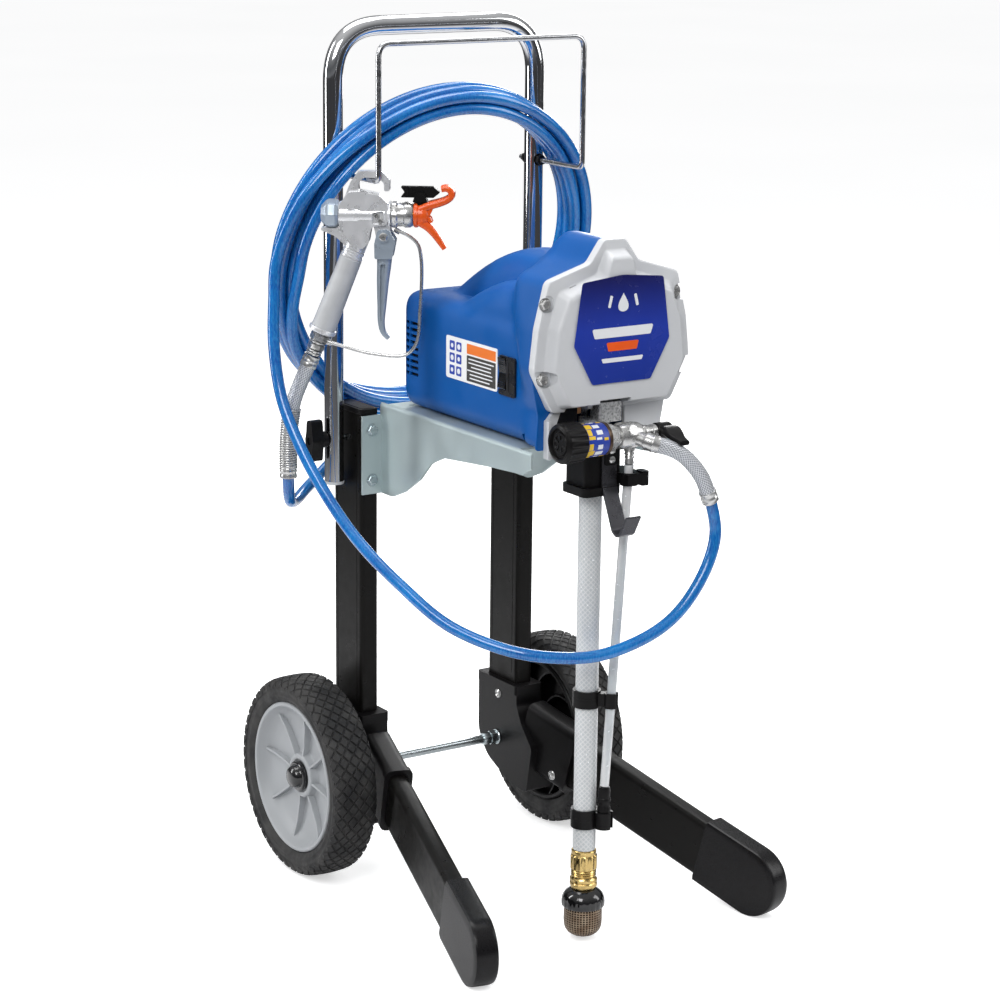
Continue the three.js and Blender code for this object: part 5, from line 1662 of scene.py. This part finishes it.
def make_knob_band():
    """A blue band with plain coloured patches for a scale, and a bronze ring beside it."""
    centre = (0, VALVE["y"], VALVE["z"])
    band = [(14.2, -53.4), (16.9, -53.4), (17.1, -52.8), (17.1, -28), (16.6, -27.2), (14.2, -27.2),
            (14.2, -53.4)]
    piece("dial_band", lathe(band, "x", centre, 72), BAND_BLUE, body="pressure_knob", slot="emblem_blue",
          smooth=32)
    collar = [(14.2, -26.8), (16.6, -26.8), (17, -26.2), (17, -23.2), (16.2, -22.5), (14.2, -22.5),
              (14.2, -26.8)]
    piece("dial_collar", lathe(collar, "x", centre, 60),
          plain_look("bronze_ring", srgb(86, 70, 58), 0.35, 0.7),
          body="pressure_knob", slot="brass", smooth=32)
    yellow, white = [], []
    for n in range(14):
        start, span = TAU * n / 14, TAU / 14 * (0.9 if n % 3 else 0.45)
        low, high = (-52.6, -47.6) if n % 2 else (-52.6, -45)
        yellow.append(band_patch(start, span, low, high))
        white.append(band_patch(start + 0.1, span * 0.7, -43.4 + 1.5 * (n % 2), -37.2 + 1.2 * (n % 3)))
        if n % 3 == 0:
            yellow.append(band_patch(start + 0.15, span * 0.8, -34.4, -29.4))
    place = Matrix.Translation(centre)
    piece("dial_yellow", moved(joined(*yellow), place), BAND_YELLOW, body="pressure_knob", slot="knob_black")
    piece("dial_white", moved(joined(*white), place), WHITE_MARK, body="pressure_knob", slot="knob_black")


def band_patch(start, span, low, high):
    """A thin curved patch wrapped round the knob's band."""
    rings = []
    for x in (low, high):
        outer = [(x, 17.35 * math.cos(start + span * s / 4), 17.35 * math.sin(start + span * s / 4))
                 for s in range(5)]
        inner = [(x, 16.9 * math.cos(start + span * s / 4), 16.9 * math.sin(start + span * s / 4))
                 for s in range(5)]
        rings.append(outer + inner[::-1])
    return loft(rings)


# ---- tube bracket and pail hook ----

def make_tube_bracket():
    x, y = PUMP["x"], PUMP["y"]
    block = prism(rectangle((x, y), (44, 42), 8), "z", 489, 536)
    step = prism(rectangle((x - 4, y - 3), (47, 44), 8), "z", 489, 498)
    plate = prism(rounded([(x - 3, 520), (x + 15, 520), (x + 15, 541), (x - 3, 541)], [3, 3, 4, 4], 4), "y",
                  y - 24.5, y - 18)
    arm = box((x + 15, 25), (VALVE["y"] - 10, y + 2), (500, 511))
    ear = prism(rectangle((24, VALVE["y"] - 3), (9, 13), 3), "z", 498, 513)
    jaw = prism(circle((9.2, VALVE["y"]), 9.4, 32), "z", 499, 512)
    cuts = [rod((x, y, 494), (x, y, 560), 16.3, 40),
            rod((SUCTION["x"], SUCTION["y"], 470), (SUCTION["x"], SUCTION["y"], 510), SUCTION["radius"] + 0.3,
                40),
            rod((*prime_at(480)[:2], 480), PRIME["top"], PRIME["radius"] + 1.3, 32)]
    piece("tube_holder", block, BLACK_PLASTIC, stands_for="tube_bracket", slot="black_plastic",
          adds=[step, plate, arm, ear, jaw], cuts=cuts, bevel=0.8)
    screws = []
    for z in (526, 535.5):
        screws.append(lathe([(0, y - 24.4), (3.9, y - 24.4), (3.7, y - 25.6), (2.4, y - 26.4), (0, y - 26.6)],
                            "y", (x + 6, 0, z), 28))
        screws.append(prism(rectangle((x + 6, z), (4.6, 0.8), 0.2, 1), "y", y - 26.9, y - 26))
    piece("holder_screws", joined(*screws), BRIGHT_STEEL, slot="fitting_steel", smooth=35)


def make_pail_hook():
    face = PUMP["y"] - 21 - 0.3
    strap = rounded([(face, 532), (face - 2.5, 532), (face - 2.5, 500), (face - 22, 457), (face - 28, 453),
                     (face - 33, 456), (face - 44, 475), (face - 46.5, 474), (face - 35.5, 454),
                     (face - 28.5, 450), (face - 20, 454.5), (face, 499)],
                    [0.6, 0.6, 8, 6, 6, 5, 0.6, 0.6, 7, 8, 8, 10], 5)
    piece("pail_strap", prism(strap, "x", PUMP["x"] - 5, PUMP["x"] + 13), plain_look(
          "hook_steel", srgb(70, 70, 74), 0.3, metallic=0.7, contrast=0.12, grain=500),
          stands_for="pail_hook", slot="hook_steel", bevel=0.5, segments=2)


make_bracket()
make_housing()
make_switch()
make_label()
make_gland()
make_cover()
make_cover_screws()
make_emblem()
make_pump()
make_manifold()
make_prime_lever()
make_pressure_knob()
make_knob_band()
make_tube_bracket()
make_pail_hook()


# ---- spray gun ----

def gun_piece(name, shape, look, cuts=(), adds=(), **facts):
    """A piece drawn in the gun's own frame: x forward along the barrel, y across and z up."""
    place = gun_matrix()
    return piece(name, moved(shape, place), look, cuts=[moved(c, place) for c in cuts],
                 adds=[moved(a, place) for a in adds], **facts)


def ribbon(route, wide, thick):
    """A tapering flat bar that follows a route in the gun's middle plane."""
    points = smooth_route([(s, 0, t) for s, t in route], 2.0)
    rings = []
    for n, point in enumerate(points):
        ahead = (Vector(points[min(n + 1, len(points) - 1)]) - Vector(points[max(n - 1, 0)])).normalized()
        normal = Vector((-ahead.z, 0, ahead.x))
        share = n / (len(points) - 1)
        w, t = (first + (last - first) * share for first, last in (wide, thick))
        rings.append([Vector(point) + normal * a + Vector((0, b, 0))
                      for a, b in rectangle((0, 0), (t, w), min(t, w) * 0.42, 4)])
    return loft(rings)


def along_grip(distance):
    return GRIP_TOP + LEAN * distance


def grip_lathe(profile, start, sides=48, swell=None):
    """A turned shape along the grip; the profile's second numbers are distances down from the start."""
    shape = lathe(profile, "z", (0, 0, 0), sides, swell)
    down = Vector((LEAN[0], 0, LEAN[1]))
    turn = Vector((0, 0, 1)).rotation_difference(down).to_matrix().to_4x4()
    return moved(shape, Matrix.Translation((start[0], 0, start[1])) @ turn)


def make_gun_body():
    barrel = lathe([(0, -40), (12.4, -40), (13.4, -38), (13.4, -20), (12.8, -16), (12.8, 9), (11.6, 10),
                    (11.6, 12.4), (14.2, 13.4), (14.2, 15), (0, 15)], "x", (0, 0, 0), 56)
    body = prism(rounded([(-39, -13), (-39, 11), (-29, 24), (-18, 25), (4, 21), (12, 13), (12, 2), (12, -10),
                          (-5, -12), (-8, -29), (-14, -36), (-27, -34), (-35, -16)],
                         [2, 3, 5, 6, 6, 4, 2, 4, 6, 6, 4, 4, 6], 4), "y", -11.8, 11.8)
    above, below = along_grip(-16), along_grip(-0.5)
    neck = rod((above[0], 0, above[1]), (below[0], 0, below[1]), 11.4, 40)
    lug = prism(rounded([(-4, -6), (17, -6), (14, -28), (8, -30), (1, -28)], [0, 3, 4, 4, 3], 4), "y", -9, 9)
    hook = prism(rounded([(-39, 6), (-27, 35), (-19, 46), (6, 46), (14, 38), (14, 25), (8, 25), (8, 33),
                          (3, 39), (-14, 39), (-19, 33), (-17, 8)], [2, 8, 5, 8, 6, 2.4, 2.4, 5, 6, 6, 6, 4],
                         5), "y", -6.4, 6.4)
    web = prism(rounded([(-38, 6), (-30, 24), (-20, 26), (-14, 8)], [2, 5, 6, 2], 4), "y", -8, 8)
    spur = prism(rounded([(-59, -14.6), (-58, -17.4), (-44, -23), (-31, -35), (-20, -34), (-20, -16),
                          (-36, -14.6)],
                         [1, 1, 8, 3, 2, 2, 2], 4), "y", -6.4, 6.4)
    recess = prism(rounded([(-4, -9.2), (-4, 3), (8, 5), (9, -9.2)], [2, 2.4, 2.4, 2], 4), "y", -16, -8.6)
    notch = box((14.9, 40), (-20, 20), (-30, 30))
    rims = [rod((-26, side * 11.0, 1), (-26, side * 12.6, 1), 6.2, 28) for side in (-1, 1)]
    gun_piece("gun_casting", body, GUN_ALUMINIUM, stands_for="gun_body", slot="gun_aluminium",
              adds=[barrel, neck, lug, hook, web, spur] + rims, cuts=[recess, notch], bevel=1.3, segments=3)


def make_gun_fittings():
    """The end cap, nose nut, side bolts and neck collar."""
    cap_profile = [(0, -59), (8.6, -59), (14.6, -53.6), (16, -50), (16, -43.6), (13.6, -40.2), (0, -40.2)]
    cap = lathe(cap_profile, "x", (0, 0, 0), 8)
    gun_piece("gun_end_cap", cap, GUN_BLUE_GREY, slot="gun_aluminium", bevel=0.8, segments=2, limit=20)
    nut = lathe([(0, 15.2), (12.4, 15.2), (14, 17), (14, 21), (12.6, 22.6), (12.6, 28.6), (13.8, 30),
                 (13.8, 35), (12, 38.4), (0, 38.4)], "x", (0, 0, 0), 60,
                lambda a, r, x: r + (0.45 * math.cos(6 * a) if 15.5 < x < 21.5 and r > 13 else 0))
    gun_piece("gun_nose_nut", nut, BRIGHT_STEEL, slot="fitting_steel", smooth=35)
    bolts = []
    for s, t in ((0.6, -0.4), (4.6, -5.8)):
        bolts.append(lathe([(0, -8.4), (2.7, -8.4), (2.7, -11.4), (2.2, -12), (1.5, -12), (1.5, -11),
                            (0, -11)], "y",
                           (s, 0, t), 24))
    gun_piece("gun_side_bolts", joined(*bolts), BRIGHT_STEEL, slot="fitting_steel", smooth=35)
    collar = [(0, -0.2), (10.6, -0.2), (11.8, 0.8), (11.8, 3), (11, 3.8), (11, 5.6), (12, 6.4), (12, 8.2),
              (0, 8.2)]
    gun_piece("gun_neck_collar", grip_lathe(collar, GRIP_TOP), GUN_ALUMINIUM, slot="gun_aluminium", smooth=35)


def make_grip():
    length = (GRIP_BOTTOM - GRIP_TOP).length
    profile = [(0, 8.4), (11.4, 8.4), (12.6, 9.6), (12.9, 30), (13.4, 60), (13.8, length - 8),
               (13.9, length - 5.6), (0, length - 5.6)]

    def flattened(angle, radius, along):
        return radius * (1 - 0.045 * math.cos(2 * angle))

    gun_piece("gun_handle", grip_lathe(profile, GRIP_TOP, 60, flattened), GRIP_GREY, stands_for="gun_grip",
              slot="grip_grey", smooth=40)
    ring = [(0, length - 5.4), (14.4, length - 5.4), (15, length - 4.6), (15, length - 1.4),
            (14, length - 0.2), (0, length - 0.2)]
    gun_piece("gun_handle_ring", grip_lathe(ring, GRIP_TOP), GUN_ALUMINIUM, slot="gun_aluminium", smooth=35)
    start = GRIP_BOTTOM + LEAN * 0.4
    stem = grip_lathe([(0, 0), (6.4, 0), (6.4, 26.4), (0, 26.4)], start, 32)
    nuts = []
    for low, high, size in ((1.4, 9.6, 10.6), (12.6, 19.6, 9.2)):
        nuts.append(grip_lathe([(0, low), (size - 1, low), (size, low + 1), (size, high - 1),
                                (size - 1, high), (0, high)], start, 6))
    rings = [grip_lathe([(0, low), (8.4, low), (8.8, low + 0.7), (8.4, low + 1.6), (0, low + 1.6)], start, 36)
             for low in (10.2, 20.4, 23.2)]
    gun_piece("gun_inlet_swivel", stem, BRIGHT_STEEL, stands_for="gun_swivel", slot="fitting_steel",
              adds=nuts + rings, bevel=0.35, segments=2)


def make_trigger():
    blade = ribbon([(7.5, -34), (8, -48), (6.4, -72), (5.4, -96), (4.8, -116), (7, -126), (12.8, -132.4)],
                   (19, 8.6), (17.5, 4.6))
    ear = rounded([(1.6, -15), (14, -15), (20.5, -27), (17, -46), (-1.6, -46), (-1.9, -30)],
                  [5, 6, 3, 3, 2, 5], 5)
    ears = [prism(ear, "y", a, b) for a, b in ((9.6, 12.4), (-12.4, -9.6))]
    web = prism(rounded([(-1.7, -33.5), (16.6, -33.5), (16.6, -46), (-1.7, -46)], 3, 4), "y", -12, 12)
    boss = [rod((8, side * 12.2, -22), (8, side * 14.2, -22), 6.3, 36) for side in (-1, 1)]
    groove = prism(rounded([(4.4, -52), (9.6, -52), (7, -90), (6, -114), (4.2, -114), (3.6, -90)],
                           [2, 2, 10, 1, 1, 10], 3), "y", -16, -3.4)
    gun_piece("gun_trigger_lever", blade, GUN_BLUE_GREY, body="gun_trigger", stands_for="gun_trigger",
              slot="trigger_grey", adds=ears + [web] + boss, cuts=[groove], bevel=0.8, segments=2)
    screw = []
    for side in (-1, 1):
        centre = (8, 0, -22)
        screw.append(lathe([(0, side * 14.1), (4.4, side * 14.1), (4.4, side * 15.2), (3.4, side * 15.9),
                            (0, side * 15.9)], "y", centre, 28))
        for turn in (0, 1):
            size = (6, 1.1) if turn else (1.1, 6)
            screw.append(prism(rectangle((8, -22), size, 0.3, 1), "y", side * 15.7, side * 16.3))
    gun_piece("trigger_pin", joined(*screw), BRIGHT_STEEL, body="gun_trigger", slot="fitting_steel",
              smooth=35)


def make_trigger_guard():
    route = [(22, -17), (33, -22), (43, -31), (47, -47), (46, -103), (42, -138), (31, -150), (-8, -149),
             (-40, -141), (-51, -138)]
    wire = tube(smooth_route([(s, 0, t) for s, t in route], 2.5), 1.9, 14)
    feet = [rod((18.6, 0, -15.6), (24.4, 0, -18.6), 3.0, 24),
            rod((-49, 0, -138.6), (-53.4, 0, -137.4), 3.2, 24)]
    gun_piece("trigger_bow", wire, BRIGHT_STEEL, stands_for="trigger_guard", slot="guard_wire", adds=feet,
              smooth=45)


def make_tip_guard():
    base = lathe([(0, 39.2), (12.6, 39.2), (13.4, 40.2), (13.4, 43), (12.4, 44), (12.4, 48), (13.2, 49),
                  (12, 53), (8, 56), (5.6, 56), (5.6, 50), (0, 50)], "x", (0, 0, 0), 48)
    upper = ribbon([(46, 6), (56, 10.4), (66, 13.4), (74, 16.6), (79, 21), (78, 26.4), (73.6, 28.8),
                    (68.4, 28)],
                   (22, 19), (9, 6))
    lower = ribbon([(46, -6), (54, -11.5), (61, -19), (67, -27.5), (72, -35)], (22, 16), (10.5, 5))
    flare = [prism(rounded([(48, sign * 3), (60, sign * 8), (57, sign * 1.2), (50, sign * 1.2)][::sign], 1,
                           3), "y",
                   -9, 9) for sign in (1, -1)]
    hole = rod((46, 0, -9), (46, 0, 40), 6.5, 36)
    pocket = lathe([(0, 52), (7, 57), (7, 60), (0, 60)], "x", (0, 0, 0), 32)
    gun_piece("spray_guard", base, ORANGE, body="tip_guard", stands_for="tip_guard", slot="guard_orange",
              adds=[upper, lower] + flare, cuts=[hole, pocket], bevel=0.7, segments=2)


def make_switch_tip():
    stem = rod((46, 0, -8), (46, 0, 21), 6, 40)
    saddle = prism(rounded([(38, 13.8), (54, 13.8), (51, 24), (41, 24)], [1, 1, 3, 3], 3), "y", -6.6, 6.6)
    arrow = prism(rounded([(25, 18.6), (29.4, 24.4), (25, 30.2), (60, 30.2), (67.2, 24.4), (60, 18.6)],
                          [1, 1.5, 1, 1.5, 1.5, 1.5], 4), "y", -4.4, 4.4)
    grooves = [prism(rounded([(29 + 4 * n, 20), (30.6 + 4 * n, 20), (30.6 + 4 * n, 28.8), (29 + 4 * n, 28.8)],
                             0.5, 2),
                     "y", side * 4.4 - 0.8, side * 4.4 + 0.8) for n in range(3) for side in (-1, 1)]
    gun_piece("reversible_tip", stem, BLACK_PLASTIC, body="switch_tip", stands_for="switch_tip",
              slot="tip_black",
              adds=[saddle, arrow], cuts=[joined(*grooves), rod((46, 0, 26), (46, 0, 34), 2.6, 24)],
              bevel=0.5, segments=2)
    eye = lathe([(0, -8.0), (2.6, -8.0), (4.6, -8.6), (5.2, -8.0), (5.2, 8.0), (4.6, 8.6), (2.6, 8.0),
                 (0, 8.0)], "x",
                (46, 0, 0), 32)
    gun_piece("tip_barrel", eye, BRASS, body="switch_tip", slot="brass", smooth=35)


def make_spring():
    """The steel spring round the hose sleeve, from near its lower end up towards the gun."""
    knots = [gun_point(*p) for p in GUN_GUARD]
    route = smooth_route([tuple(k) for k in knots], 2.0)
    first, covered = 5, int(len(route) * 0.62)
    spring = helix(route[first:first + covered], coil_radius=8.95, wire=1.0, pitch=2.6)
    piece("hose_strain_spring", spring, BRIGHT_STEEL, slot="spring_steel", smooth=60)


# ---- the pieces shut inside the housing ----

def make_casting():
    """The drive casting with its corners rounded off, so that it sits inside the cover."""
    node = bpy.data.objects["drive_casting"]
    points = [node.matrix_world @ vertex.co / MM for vertex in node.data.vertices]
    faces = [tuple(polygon.vertices) for polygon in node.data.polygons]
    casting = piece("casting_block", (points, faces), SPECKLE, stands_for="drive_casting",
                    slot="cast_aluminium")
    boolean(casting, prism(rectangle((0, 646.5), (123.6, 122), 14), "y", AXLE_Y - 345, AXLE_Y - 250),
            "INTERSECT")


def finish_inside():
    """The drive keeps its own shapes; each piece gets its own surface."""
    looks = {"motor_stator": COPPER, "motor_rotor": LAMINATION, "drive_gear": BRIGHT_STEEL,
             "piston_rod": CHROME}
    for name, look in looks.items():
        materials = bpy.data.objects[name].data.materials
        materials.clear()
        materials.append(look)


make_gun_body()
make_gun_fittings()
make_grip()
make_trigger()
make_trigger_guard()
make_tip_guard()
make_switch_tip()
make_spring()
make_casting()
finish_inside()
